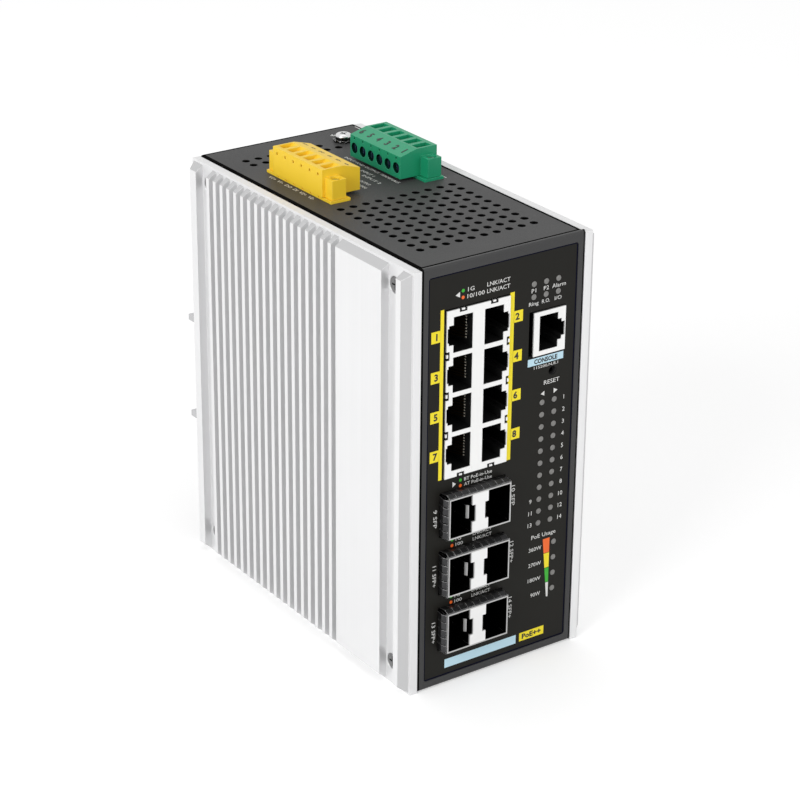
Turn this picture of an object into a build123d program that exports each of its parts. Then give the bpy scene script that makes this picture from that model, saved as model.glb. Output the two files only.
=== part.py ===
from build123d import *
import math
import os

# Tall industrial network switch for a 35 mm rail, in millimetres.
# X runs across the front from left to right, Y from the front to the back, Z up.
# The origin lies under the middle of the whole object, on the surface it stands on.

os.makedirs("parts", exist_ok=True)

# Eight port jack: two columns of ports turned on their side, latches outwards
port_rows = 4
port_height = 12.3
port_wall = 1.6
jack_end_wall = 2.4
port_width = 7.6
latch_step = 1.8
latch_height = 6.8
latch_notch = 0.5
notch_height = 4.9
jack_rim = 0.3
jack_bar = 4.7
jack_depth = 26.0
port_depth = 14.0
jack_proud = 0.3
shell_sheet = 0.3
tab_width = 1.2
tab_reach = 0.65
tab_slot_width = 3.0
tab_slot_reach = 1.2
tab_slot_depth = 1.2
fit_gap = 0.1
contact_count = 8
contact_pitch = 1.02
contact_width = 0.45
contact_sheet = 0.3
contact_rise = 2.7
contact_start = 3.0
contact_tip = 9.5
contact_end = 13.0

# Twin SFP cages, turned on their side, one above the other
cage_rows = 3
cage_pitch = 21.2
cage_height = 14.5
cage_cell = 8.8
cage_sheet = 0.45
cage_middle = 6.5
cage_depth = 48.7
cage_proud = 4.2
cage_window = 6.1
window_depth = 9.0
spacer_plate = 0.8
spacer_notch = 1.35
spacer_core = 3.6
spacer_depth = 14.0
latch_rise = 1.2
latch_sheet = 0.3
latch_leaf = 4.8
collar_sheet = 0.25
collar_bulge = 0.85
collar_foot = 0.35
collar_back = 1.4
collar_band = 0.6
finger_gap = 0.45
fingers_long = 9
fingers_short = 5
connector_width = 4.0
connector_height = 11.4
connector_depth = 11.0

# Console socket, one port turned on its side
console_wall = 2.3
console_step = 1.5
console_notch = 1.3
console_rim = 0.3
console_end_wall = 1.55
console_depth = 15.5
console_drop = 24.5
console_side_gap = 1.6
console_step_height = 7.3

# Placing of the ports on the front
bottom_margin = 13.8
jack_gap = 5.8
top_margin = 16.05
left_margin = 9.75
cage_offset = 0.55
console_gap = 9.85
right_margin = 7.3

# Indicator windows and the reset button
pipe_radius = 0.95
pipe_gap = 0.1
pipe_bar = 1.4
pipe_bar_back = 2.0
led_rows = 11
led_pitch = 4.45
led_drop = 17.5
led_column_gap = 5.1
led_column_inset = 4.8
status_pitch = 5.0
status_row_gap = 4.5
status_rise = 5.5
usage_pitch = 5.95
usage_drop = 9.0
usage_inset = 11.8
led_side = 1.6
led_thick = 0.9
reset_hole_radius = 1.6
reset_drop = 6.9
reset_inset = 8.7
reset_switch_side = 6.0
reset_switch_thick = 3.5
reset_foot_radius = 1.7
reset_foot = 1.5
reset_stem_radius = 1.2
reset_travel = 0.3
reset_rest_gap = 0.3
reset_setback = 3.6

# Housing of bent sheet between two side panels
housing_depth = 134.8
foot_lift = 0.4
cover_sheet = 1.2
cover_side_gap = 0.35
cover_flange = 9.0
cover_seam = 0.25
cover_round = 0.9
front_plate = 1.3
front_plinth = 1.2
front_edge_round = 0.8
frame_side = 2.7
frame_top = 3.5
frame_bottom = 2.9
pocket_depth = 0.6
pocket_round = 1.0
overlay_sheet = 0.3
overlay_gap = 0.1
jack_slack = 0.4
cage_slack = 0.9
return_sheet = 2.0
return_depth = 15.5
return_end_gap = 0.3
rear_plate = 1.5
seat_gap = 0.1

# Vents in the covers
vent_count = 10
vent_pitch = 5.05
vent_radius = 1.4
vent_front = 14.9
rear_vent_rows = 2
rear_vent_inset = 14.9

# Extruded side panels with fins
side_base = 3.0
fin_height = 3.0
fin_count = 18
fin_pitch = 4.5
fin_tip = 1.8
fin_root = 2.5
first_fin = 14.9
rib_start = 0.95
rib_front = 3.0
rib_back = 5.7
rear_rib_back = 6.9
block_front = 13.7
block_back = 39.9
panel_drop = 0.5
end_step = 0.8
end_drop = 2.8
side_screw_front = 10.4
side_screw_rear = 10.6
side_screw_low = 8.4
side_screw_high = 7.2

# Countersunk screws of the side panels and of the back
screw_radius = 1.45
screw_clearance = 0.15
screw_head = 2.75
screw_cone = 1.6
screw_sink = 3.0
screw_length = 6.0
cross_width = 0.6
cross_depth = 0.9
rear_screw_inset = 6.5

# Rail bracket on the back
rail_height = 35.0
rail_centre = 66.9
bracket_width = 65.0
hook_half = 25.0
bracket_base = 3.0
bracket_end = 30.0
hook_reach = 11.2
hook_lip = 1.5
hook_shelf = 2.2
hook_grip = 3.3
rail_slack_low = 0.3
rail_slack_top = 0.8
seat_reach = 8.2
seat_height = 5.8
bracket_screw_x = 20.0
bracket_screw_z = 26.0
spring_width = 24.0
spring_sheet = 0.5
spring_foot = 6.0
spring_rise = 4.6

# Pluggable terminals on the top
pole_count = 6
pole_pitch = 5.08
plug_width = 15.2
plug_top = 10.8
plug_slope_end = 9.0
plug_flat = 8.5
plug_lift = 1.1
plug_flange = 4.4
plug_flange_width = 5.5
plug_flange_start = 1.2
plug_flange_top = 7.9
power_left = 9.2
power_front = 70.7
alarm_right = 8.3
alarm_front = 71.6
header_width = 7.8
header_plate = 1.0
header_inset = 0.4
header_wall = 0.9
notch_depth = 0.5
notch_width = 1.2
notch_rise = 0.3
tongue_gap = 0.15
tongue_drop = 8.0
pin_side = 1.0
pin_tail = 2.6
pin_reach = 7.0
socket_side = 1.5
pocket_start = 1.7
pocket_length = 6.0
pocket_floor = 2.0
pocket_width = 3.4
pocket_sink = 3.6
clamp_radius = 1.9
clamp_hole_depth = 5.0
clamp_rise = 4.6
clamp_screw_radius = 1.6
clamp_screw_depth = 1.5
clamp_screw_length = 4.2
test_side = 0.9
test_rise = 8.3
test_depth = 1.2
clamp_test_side = 0.8
clamp_test_rise = 7.7
flange_hole_radius = 1.8
flange_screw_radius = 1.4
flange_screw_head = 1.7
flange_screw_sink = 0.8

# Ground screw on the top
ground_x = 17.9
ground_back = 15.0
ground_radius = 1.5
ground_head = 2.9
ground_head_height = 2.1
washer_radius = 3.6
washer_root = 2.9
washer_teeth = 10
washer_sheet = 0.8
ground_length = 5.5
ground_nut_radius = 3.1
ground_nut_height = 2.6
ground_keepout = 7.0

# Boards and what they carry
board_sheet = 1.6
main_board_gap = 7.5
main_board_front = 3.2
main_board_back = 9.5
main_board_low = 6.0
main_board_step = 56.0
main_board_step_drop = 21.5
main_board_top_drop = 9.5
power_board_gap = 10.4
power_board_front = 30.0
power_board_back = 12.8
power_board_low = 10.0
power_board_drop = 23.5
led_board_depth = 16.0
led_board_left = 43.5
led_board_right = 2.7
led_board_low = 13.6
led_board_top = 5.4
terminal_board_drop = 11.0
terminal_board_side = 5.0
terminal_board_front = 60.0
terminal_board_back = 22.8
standoff_radius = 2.6
board_screw_radius = 1.4
board_screw_head = 2.5
board_screw_head_height = 1.6
board_screw_length = 6.0
led_standoff_inset = 1.9
chip_side = 23.0
chip_thick = 1.8
chip_y = 86.0
chip_z = 68.0
pad_sheet = 0.7
heat_block_side = 27.0
phy_side = 14.0
phy_thick = 1.2
phy_y = 52.0
phy_low = 40.0
phy_high = 96.0
transformer_width = 22.0
transformer_length = 20.0
transformer_height = 15.0
transformer_y = 55.0
transformer_low = 34.0
transformer_high = 76.0
core_wall = 4.5
capacitor_radius = 6.25
capacitor_height = 20.0
capacitor_y = 100.0
capacitor_low = 30.0
capacitor_pitch = 22.0
capacitor_count = 4
link_thick = 6.0
link_length = 10.0
link_inset = 1.0
led_link_low = 60.0
led_link_high = 84.0

# Sizes worked out from the ones above
port_pitch = port_height + port_wall
jack_height = port_rows * port_height + (port_rows - 1) * port_wall + 2 * jack_end_wall
jack_half = jack_bar / 2 + port_width + latch_step + latch_notch + jack_rim
cage_width = 2 * (cage_sheet + cage_cell) + cage_middle
cages_height = (cage_rows - 1) * cage_pitch + cage_height
console_width = console_wall + port_width + console_step + console_notch + console_rim
console_height = port_height + 2 * console_end_wall
housing_height = bottom_margin + cages_height + jack_gap + jack_height + top_margin
housing_width = left_margin + 2 * jack_half + console_gap + console_width + right_margin
overall_depth = cage_proud + housing_depth + hook_reach

front_y = cage_proud - overall_depth / 2
rear_y = front_y + housing_depth
left_x = -housing_width / 2
right_x = housing_width / 2
base_z = foot_lift
top_z = foot_lift + housing_height
panel_height = top_z - panel_drop

jack_x = left_x + left_margin + jack_half
jack_bottom = base_z + bottom_margin + cages_height + jack_gap
jack_top = jack_bottom + jack_height
port_zs = [jack_top - jack_end_wall - port_height / 2 - row * port_pitch for row in range(port_rows)]

cage_x = left_x + left_margin - cage_offset + cage_width / 2
cage_bottoms = [base_z + bottom_margin + (cage_rows - 1 - row) * cage_pitch for row in range(cage_rows)]
cage_front = front_y - cage_proud
cell_shift = cage_middle / 2 + cage_cell / 2

console_right = right_x - right_margin
console_left = console_right - console_width
console_top = top_z - console_drop
console_bottom = console_top - console_height
console_z = (console_top + console_bottom) / 2
console_port_left = console_left + console_wall

panel_inner = front_y + front_plate + front_plinth
overlay_face = front_y + pocket_depth - overlay_sheet
led_board_y = front_y + led_board_depth
led_column_left = console_left + led_column_inset
led_columns = [led_column_left, led_column_left + led_column_gap]
led_zs = [console_bottom - led_drop - row * led_pitch for row in range(led_rows)]
status_top = console_top + status_rise + status_row_gap
status_points = [
    (console_left + column * status_pitch, status_top - row * status_row_gap)
    for column in range(3) for row in range(2)
]
port_points = [(x, z) for x in led_columns for z in led_zs]
usage_points = [
    (console_left + usage_inset, led_zs[-1] - usage_drop - row * usage_pitch) for row in range(4)
]
window_groups = [status_points, port_points, usage_points]
window_points = status_points + port_points + usage_points
reset_x = console_left + reset_inset
reset_z = console_bottom - reset_drop

terminal_board_z = top_z - terminal_board_drop
main_board_x = left_x + main_board_gap
power_board_x = right_x - power_board_gap
plug_length = pole_count * pole_pitch
rail_z = base_z + rail_centre


# Helpers that every piece shares
def block(x0, x1, y0, y1, z0, z1, mode=Mode.ADD):
    with Locations(((x0 + x1) / 2, (y0 + y1) / 2, (z0 + z1) / 2)):
        Box(x1 - x0, y1 - y0, z1 - z0, mode=mode)


def rod_x(x0, x1, y, z, radius, mode=Mode.ADD):
    with Locations(((x0 + x1) / 2, y, z)):
        Cylinder(radius, x1 - x0, rotation=(0, 90, 0), mode=mode)


def rod_y(x, y0, y1, z, radius, mode=Mode.ADD):
    with Locations((x, (y0 + y1) / 2, z)):
        Cylinder(radius, y1 - y0, rotation=(90, 0, 0), mode=mode)


def rod_z(x, y, z0, z1, radius, mode=Mode.ADD):
    with Locations((x, y, (z0 + z1) / 2)):
        Cylinder(radius, z1 - z0, mode=mode)


def front_plane(y):
    return Plane(origin=(0, y, 0), x_dir=(1, 0, 0), z_dir=(0, -1, 0))


def side_plane(x):
    return Plane(origin=(x, 0, 0), x_dir=(0, 1, 0), z_dir=(1, 0, 0))


def outline(points):
    with BuildLine() as edge:
        Polyline(*points, close=True)
    make_face(edge.edges())


def cross_recess(width, depth):
    Box(width, cross_width, depth, align=(Align.CENTER, Align.CENTER, Align.MAX), mode=Mode.SUBTRACT)
    Box(cross_width, width, depth, align=(Align.CENTER, Align.CENTER, Align.MAX), mode=Mode.SUBTRACT)


def countersunk_screw(place, length):
    on_axis = (Align.CENTER, Align.CENTER, Align.MAX)
    with Locations(place.location):
        Cylinder(screw_radius, length, align=on_axis)
        Cone(screw_radius, screw_head, screw_cone, align=on_axis)
        cross_recess(screw_head * 1.3, cross_depth)


def pan_screw(place, radius, length, head, head_height):
    with Locations(place.location):
        Cylinder(radius, length, align=(Align.CENTER, Align.CENTER, Align.MAX))
        Cylinder(head, head_height, align=(Align.CENTER, Align.CENTER, Align.MIN))
    with Locations(place.offset(head_height).location):
        cross_recess(head * 1.2, head_height * 0.6)


# Side panels: an extrusion along Z with a front rib, a flat block, fins and a rear rib
side_screw_ys = [front_y + side_screw_front, rear_y - side_screw_rear]
side_screw_zs = [side_screw_low, panel_height - side_screw_high]
fin_ys = [rear_y - first_fin - n * fin_pitch for n in range(fin_count)]
rib_foot = 0.5


def side_profile(inner_x, outward):
    """Section of a side panel: base plate, ribs, block and tapered fins."""
    def at(height, y):
        return (inner_x + outward * height, y)

    tip = side_base + fin_height
    root = side_base - rib_foot
    outline([at(0, front_y), at(side_base, front_y), at(side_base, rear_y), at(0, rear_y)])
    for edge_y, inward, rib_end in ((front_y, 1, rib_back), (rear_y, -1, rear_rib_back)):
        outline([
            at(root, edge_y + inward * rib_start), at(side_base, edge_y + inward * rib_start),
            at(tip, edge_y + inward * rib_front), at(tip, edge_y + inward * rib_end),
            at(root, edge_y + inward * rib_end),
        ])
    outline([
        at(root, front_y + block_front), at(tip, front_y + block_front),
        at(tip, front_y + block_back), at(root, front_y + block_back),
    ])
    for y in fin_ys:
        outline([
            at(root, y - fin_root / 2), at(side_base, y - fin_root / 2), at(tip, y - fin_tip / 2),
            at(tip, y + fin_tip / 2), at(side_base, y + fin_root / 2), at(root, y + fin_root / 2),
        ])


def fin_end_cut(inner_x, outward):
    """Slanting cuts at the upper and lower ends of the fins."""
    near = inner_x + outward * side_base
    far = near + outward * fin_height
    past = far + outward
    with BuildSketch(front_plane(rear_y + 1)) as ends:
        outline([
            (near, panel_height - end_step), (far, panel_height - end_drop),
            (past, panel_height - end_drop), (past, panel_height + 1), (near, panel_height + 1),
        ])
        outline([(near, end_step), (far, end_drop), (past, end_drop), (past, -1), (near, -1)])
    extrude(ends.sketch, amount=housing_depth + 2, mode=Mode.SUBTRACT)


def side_screw_places(inner_x, outward):
    return [
        Plane(origin=(inner_x + outward * side_base, y, z), z_dir=(outward, 0, 0))
        for y in side_screw_ys for z in side_screw_zs
    ]


with BuildPart() as left_side_panel:
    with BuildSketch(Plane.XY):
        side_profile(left_x, -1)
    extrude(amount=panel_height)
    fin_end_cut(left_x, -1)
    with Locations(*[place.location for place in side_screw_places(left_x, -1)]):
        CounterSinkHole(screw_radius + screw_clearance, screw_sink, depth=side_base + 1)
left_side_panel.part.label = "left_side_panel"
export_step(left_side_panel.part, "parts/left_side_panel.step")

with BuildPart() as right_side_panel:
    with BuildSketch(Plane.XY):
        side_profile(right_x, 1)
    extrude(amount=panel_height)
    fin_end_cut(right_x, 1)
    with Locations(*[place.location for place in side_screw_places(right_x, 1)]):
        CounterSinkHole(screw_radius + screw_clearance, screw_sink, depth=side_base + 1)
right_side_panel.part.label = "right_side_panel"
export_step(right_side_panel.part, "parts/right_side_panel.step")

with BuildPart() as side_screws:
    for place in side_screw_places(left_x, -1) + side_screw_places(right_x, 1):
        countersunk_screw(place.offset(-seat_gap), side_base + return_sheet)
side_screws.part.label = "side_screws"
export_step(side_screws.part, "parts/side_screws.step")


# Front panel: frame, recess for the overlay, openings, and two returns for the side screws
def front_openings(back_y, depth):
    """Cut every opening of the front through a wall that starts at back_y and faces forward."""
    with BuildSketch(front_plane(back_y)) as openings:
        with Locations((jack_x, (jack_bottom + jack_top) / 2)):
            Rectangle(2 * (jack_half + jack_slack), jack_height + 2 * jack_slack)
        for bottom in cage_bottoms:
            with Locations((cage_x, bottom + cage_height / 2)):
                Rectangle(cage_width + 2 * cage_slack, cage_height + 2 * cage_slack)
        outline([
            (console_left - console_side_gap, console_bottom - jack_slack),
            (console_right + jack_slack / 2, console_bottom - jack_slack),
            (console_right + jack_slack / 2, console_top + jack_slack),
            (console_left - console_side_gap, console_top + jack_slack),
        ])
        with Locations(*window_points):
            Circle(pipe_radius + pipe_gap)
        with Locations((reset_x, reset_z)):
            Circle(reset_hole_radius)
    extrude(openings.sketch, amount=depth, mode=Mode.SUBTRACT)


plinth_inset = cover_sheet + seat_gap
frame_width = housing_width - 2 * frame_side
frame_height = housing_height - frame_top - frame_bottom
frame_z = base_z + frame_bottom + frame_height / 2
return_low = base_z + plinth_inset + return_end_gap
return_high = top_z - plinth_inset - return_end_gap

with BuildPart() as front_panel:
    block(left_x, right_x, front_y, front_y + front_plate, base_z, top_z)
    fillet(front_panel.faces().sort_by(Axis.Y)[0].edges(), front_edge_round)
    block(left_x, right_x, front_y + front_plate, panel_inner, base_z + plinth_inset, top_z - plinth_inset)
    for x0, x1 in ((left_x, left_x + return_sheet), (right_x - return_sheet, right_x)):
        block(x0, x1, panel_inner, front_y + return_depth, return_low, return_high)
        for z in side_screw_zs:
            rod_x(x0 - 1, x1 + 1, side_screw_ys[0], z, screw_radius, Mode.SUBTRACT)
    with BuildSketch(front_plane(front_y + pocket_depth)):
        with Locations((0, frame_z)):
            RectangleRounded(frame_width, frame_height, pocket_round)
    extrude(amount=pocket_depth + 1, mode=Mode.SUBTRACT)
    front_openings(panel_inner, front_plate + front_plinth)
front_panel.part.label = "front_panel"
export_step(front_panel.part, "parts/front_panel.step")

with BuildPart() as front_overlay:
    with BuildSketch(front_plane(front_y + pocket_depth)):
        with Locations((0, frame_z)):
            RectangleRounded(frame_width - 2 * overlay_gap, frame_height - 2 * overlay_gap, pocket_round)
    extrude(amount=overlay_sheet)
    front_openings(front_y + pocket_depth, overlay_sheet)
front_overlay.part.label = "front_overlay"
export_step(front_overlay.part, "parts/front_overlay.step")


# Covers above and below, with vents and side flanges, and the rear panel
cover_front = front_y + front_plate + cover_seam
cover_half = housing_width / 2 - cover_side_gap
flange_front = front_y + return_depth + cover_side_gap
flange_back = rear_y - return_depth - cover_side_gap
ground_y = rear_y - ground_back
vent_span = (vent_count - 1) * vent_pitch
front_vents = [
    (-vent_span / 2 + i * vent_pitch, front_y + vent_front + j * vent_pitch)
    for i in range(vent_count) for j in range(vent_count)
]
rear_vents = [
    (-vent_span / 2 + i * vent_pitch, rear_y - rear_vent_inset - j * vent_pitch)
    for i in range(vent_count) for j in range(rear_vent_rows)
]


def cover(outer_z, inward):
    """Flat sheet with a flange along each side, open between the returns of front and rear."""
    inner_z = outer_z + inward * cover_sheet
    edge_z = outer_z + inward * cover_flange
    low, high = sorted((outer_z, inner_z))
    block(-cover_half, cover_half, cover_front, rear_y, low, high)
    low, high = sorted((inner_z, edge_z))
    for x0 in (-cover_half, cover_half - cover_sheet):
        block(x0, x0 + cover_sheet, flange_front, flange_back, low, high)


def vents(points, z):
    with BuildSketch(Plane.XY.offset(z - cover_sheet)) as holes:
        with Locations(*points):
            Circle(vent_radius)
    extrude(holes.sketch, amount=2 * cover_sheet, mode=Mode.SUBTRACT)


# Each terminal: where its flange face stands, which way it faces, and the front end of its plug
power_site = (left_x + power_left, 1, front_y + power_front)
alarm_site = (right_x - alarm_right, -1, front_y + alarm_front)


def across(site, distance):
    return site[0] + site[1] * distance


def site_block(site, near, far, y0, y1, z0, z1, mode=Mode.ADD):
    x0, x1 = sorted((across(site, near), across(site, far)))
    block(x0, x1, y0, y1, z0, z1, mode)


header_far = header_inset + header_width
header_reach = plug_flange + header_inset
board_pass = header_inset + header_wall

with BuildPart() as top_cover:
    cover(top_z, -1)
    fillet(top_cover.faces().sort_by(Axis.Z)[-1].edges().sort_by(Axis.Y)[1:], cover_round)
    kept = [p for p in rear_vents if math.dist(p, (ground_x, ground_y)) > ground_keepout]
    vents(front_vents + kept, top_z)
    for site in (power_site, alarm_site):
        site_block(
            site, header_inset + seat_gap, header_far - seat_gap,
            site[2] - header_reach + seat_gap * 2, site[2] + plug_length + header_reach - seat_gap * 2,
            top_z - 2 * cover_sheet, top_z + 1, Mode.SUBTRACT,
        )
    rod_z(ground_x, ground_y, top_z - 2 * cover_sheet, top_z + 1, ground_radius + seat_gap, Mode.SUBTRACT)
top_cover.part.label = "top_cover"
export_step(top_cover.part, "parts/top_cover.step")

with BuildPart() as bottom_cover:
    cover(base_z, 1)
    fillet(bottom_cover.faces().sort_by(Axis.Z)[0].edges().sort_by(Axis.Y)[1:], cover_round)
    vents(front_vents + rear_vents, base_z)
bottom_cover.part.label = "bottom_cover"
export_step(bottom_cover.part, "parts/bottom_cover.step")

bracket_screw_points = [
    (side * bracket_screw_x, rail_z + end * bracket_screw_z) for side in (-1, 1) for end in (-1, 1)
]
rear_screw_points = [
    (side * (housing_width / 2 - rear_screw_inset), z)
    for side in (-1, 1) for z in (base_z + rear_screw_inset, top_z - rear_screw_inset)
]
rear_inner = rear_y - rear_plate

with BuildPart() as rear_panel:
    block(left_x, right_x, rear_inner, rear_y, base_z + plinth_inset, top_z - plinth_inset)
    for x0, x1 in ((left_x, left_x + return_sheet), (right_x - return_sheet, right_x)):
        block(x0, x1, rear_y - return_depth, rear_inner, return_low, return_high)
        for z in side_screw_zs:
            rod_x(x0 - 1, x1 + 1, side_screw_ys[1], z, screw_radius, Mode.SUBTRACT)
    for x, z in bracket_screw_points + rear_screw_points:
        rod_y(x, rear_inner - 1, rear_y + 1, z, screw_radius, Mode.SUBTRACT)
rear_panel.part.label = "rear_panel"
export_step(rear_panel.part, "parts/rear_panel.step")

with BuildPart() as rear_screws:
    for x, z in rear_screw_points:
        pan_screw(Plane(origin=(x, rear_y, z), z_dir=(0, 1, 0)), screw_radius, screw_length,
                  screw_head, screw_cone)
rear_screws.part.label = "rear_screws"
export_step(rear_screws.part, "parts/rear_screws.step")


# Rail bracket: base plate, seat and fixed lip below, hook above, and a flat spring
def bracket_point(reach, height):
    return (rear_y + reach, rail_z + height)


lower_shelf = -rail_height / 2 - rail_slack_low
upper_shelf = rail_height / 2 + rail_slack_top
lip_start = hook_reach - hook_lip
lip_low = lower_shelf + hook_grip
lip_high = upper_shelf - hook_grip - rail_slack_top
spring_root = upper_shelf - hook_grip - rail_slack_top - spring_foot

with BuildPart() as din_bracket:
    with BuildSketch(side_plane(-bracket_width / 2)):
        outline([
            bracket_point(0, -bracket_end), bracket_point(bracket_base, -bracket_end),
            bracket_point(bracket_base, lower_shelf - hook_shelf),
            bracket_point(hook_reach, lower_shelf - hook_shelf), bracket_point(hook_reach, lip_low),
            bracket_point(lip_start, lip_low), bracket_point(lip_start, lower_shelf),
            bracket_point(seat_reach, lower_shelf), bracket_point(seat_reach, lower_shelf + seat_height),
            bracket_point(bracket_base, lower_shelf + seat_height),
            bracket_point(bracket_base, upper_shelf), bracket_point(lip_start, upper_shelf),
            bracket_point(lip_start, lip_high), bracket_point(hook_reach, lip_high),
            bracket_point(hook_reach, upper_shelf + hook_shelf),
            bracket_point(bracket_base, upper_shelf + hook_shelf),
            bracket_point(bracket_base, bracket_end), bracket_point(0, bracket_end),
        ])
    extrude(amount=bracket_width)
    for x0, x1 in ((-bracket_width / 2 - 1, -hook_half), (hook_half, bracket_width / 2 + 1)):
        block(x0, x1, rear_y + bracket_base, rear_y + hook_reach + 1, rail_z + lower_shelf,
              rail_z + upper_shelf, Mode.SUBTRACT)
    for x, z in bracket_screw_points:
        with Locations(Plane(origin=(x, rear_y + bracket_base, z), z_dir=(0, 1, 0)).location):
            CounterSinkHole(screw_radius + screw_clearance, screw_sink, depth=bracket_base + 1)
din_bracket.part.label = "din_bracket"
export_step(din_bracket.part, "parts/din_bracket.step")

with BuildPart() as din_spring:
    spring_start = rear_y + bracket_base
    spring_top = lip_high + hook_grip
    with BuildSketch(side_plane(-spring_width / 2)):
        outline([
            (spring_start, rail_z + spring_root - spring_foot), (spring_start, rail_z + spring_root),
            (spring_start + spring_rise, rail_z + lip_high), (spring_start + spring_rise / 2, rail_z + spring_top),
            (spring_start + spring_rise / 2 + spring_sheet, rail_z + spring_top),
            (spring_start + spring_rise + spring_sheet, rail_z + lip_high),
            (spring_start + spring_sheet, rail_z + spring_root - spring_sheet / 2),
            (spring_start + spring_sheet, rail_z + spring_root - spring_foot),
        ])
    extrude(amount=spring_width)
din_spring.part.label = "din_spring"
export_step(din_spring.part, "parts/din_spring.step")

with BuildPart() as din_screws:
    for x, z in bracket_screw_points:
        place = Plane(origin=(x, rear_y + bracket_base - seat_gap, z), z_dir=(0, 1, 0))
        countersunk_screw(place, bracket_base + rear_plate + 1)
din_screws.part.label = "din_screws"
export_step(din_screws.part, "parts/din_screws.step")

# Terminals: a header through the top cover onto its board, and a screwed plug with two flanges
terminal_board_top = terminal_board_z
board_low = terminal_board_z - board_sheet


def pole_ys(site):
    return [site[2] + (n + 0.5) * pole_pitch for n in range(pole_count)]


def flange_ys(site):
    return [site[2] - plug_flange / 2, site[2] + plug_length + plug_flange / 2]


flange_axis = plug_flange_start + plug_flange_width / 2
tongue_near = header_inset + header_wall + tongue_gap
tongue_far = header_far - header_wall - tongue_gap
tongue_axis = (tongue_near + tongue_far) / 2
cavity_floor = top_z - tongue_drop - seat_gap
header_bottom = terminal_board_z
pin_top = cavity_floor + pin_reach


def header(site):
    """Open topped shroud with a rim that rests on the cover, a floor and its pin holes."""
    y0 = site[2] - header_reach
    y1 = site[2] + plug_length + header_reach
    site_block(site, header_inset, header_far, y0, y1, top_z, top_z + header_plate)
    site_block(site, header_inset + 2 * seat_gap, header_far - 2 * seat_gap, y0 + 3 * seat_gap,
               y1 - 3 * seat_gap, header_bottom, top_z)
    site_block(site, header_inset + header_wall, header_far - header_wall, site[2] - tongue_gap,
               site[2] + plug_length + tongue_gap, cavity_floor, top_z + header_plate, Mode.SUBTRACT)
    for y in pole_ys(site):
        site_block(site, tongue_axis - pin_side / 2, tongue_axis + pin_side / 2, y - pin_side / 2,
                   y + pin_side / 2, header_bottom, top_z, Mode.SUBTRACT)
        site_block(site, header_inset - 1, header_inset + notch_depth, y - notch_width / 2,
                   y + notch_width / 2, top_z + notch_rise, top_z + header_plate + 1, Mode.SUBTRACT)
    for y in flange_ys(site):
        rod_z(across(site, flange_axis), y, top_z - 3, top_z + 2, flange_screw_radius, Mode.SUBTRACT)


def pins(site):
    for y in pole_ys(site):
        site_block(site, tongue_axis - pin_side / 2, tongue_axis + pin_side / 2, y - pin_side / 2,
                   y + pin_side / 2, board_low - pin_tail, pin_top)


def plug(site):
    """Body with a sloped strip, tongue, flanges, wire pockets, clamp screw holes and test holes."""
    y0 = site[2]
    y1 = site[2] + plug_length
    low = top_z + plug_lift
    with BuildSketch(front_plane(y1)) as body:
        outline([
            (across(site, 0), low), (across(site, 0), top_z + plug_top),
            (across(site, plug_flat), top_z + plug_top), (across(site, plug_width), top_z + plug_slope_end),
            (across(site, plug_width), low),
        ])
    extrude(body.sketch, amount=plug_length)
    site_block(site, tongue_near, tongue_far, y0, y1, top_z - tongue_drop, low)
    for flange_y0, flange_y1 in ((y0 - plug_flange, y0), (y1, y1 + plug_flange)):
        site_block(site, plug_flange_start, plug_flange_start + plug_flange_width, flange_y0, flange_y1,
                   low, top_z + plug_flange_top)
    for y in flange_ys(site):
        x = across(site, flange_axis)
        rod_z(x, y, low - 1, top_z + plug_flange_top + 1, flange_hole_radius, Mode.SUBTRACT)
    for y in pole_ys(site):
        with BuildSketch(front_plane(y + pocket_width / 2)) as funnel:
            outline([
                (across(site, pocket_start), top_z + plug_top + 1),
                (across(site, pocket_start), top_z + plug_top - pocket_sink),
                (across(site, pocket_start + pocket_floor), top_z + plug_top - pocket_sink),
                (across(site, pocket_start + pocket_length), top_z + plug_top),
                (across(site, pocket_start + pocket_length), top_z + plug_top + 1),
            ])
        extrude(funnel.sketch, amount=pocket_width, mode=Mode.SUBTRACT)
        x0, x1 = sorted((across(site, plug_width - clamp_hole_depth), across(site, plug_width + 1)))
        rod_x(x0, x1, y, top_z + clamp_rise, clamp_radius, Mode.SUBTRACT)
        site_block(site, -1, test_depth, y - test_side / 2, y + test_side / 2,
                   top_z + test_rise, top_z + test_rise + test_side, Mode.SUBTRACT)
        site_block(site, plug_width - test_depth, plug_width + 1, y - clamp_test_side / 2,
                   y + clamp_test_side / 2, top_z + clamp_test_rise,
                   top_z + clamp_test_rise + clamp_test_side, Mode.SUBTRACT)
        site_block(site, tongue_axis - socket_side / 2, tongue_axis + socket_side / 2,
                   y - socket_side / 2, y + socket_side / 2, top_z - tongue_drop - 1,
                   pin_top + seat_gap, Mode.SUBTRACT)


def clamp_screws(site):
    """Slotted screws at the bottom of the round holes."""
    for y in pole_ys(site):
        deep = plug_width - clamp_hole_depth
        x0, x1 = sorted((across(site, deep), across(site, deep + clamp_screw_length)))
        rod_x(x0, x1, y, top_z + clamp_rise, clamp_screw_radius)
        site_block(site, deep + clamp_screw_length - clamp_screw_depth / 2, deep + clamp_screw_length + 1,
                   y - test_side / 3, y + test_side / 3, top_z + clamp_rise - clamp_radius,
                   top_z + clamp_rise + clamp_radius, Mode.SUBTRACT)


def flange_screws(site):
    """Screws that hold the plug down on the header."""
    for y in flange_ys(site):
        x = across(site, flange_axis)
        top = top_z + plug_flange_top - flange_screw_sink
        rod_z(x, y, top_z - 3, top, flange_screw_radius)
        rod_z(x, y, top - 2, top, flange_screw_head)
        site_block(site, flange_axis - flange_screw_head, flange_axis + flange_screw_head,
                   y - test_side / 3, y + test_side / 3, top - flange_screw_sink, top + 1, Mode.SUBTRACT)


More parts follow.
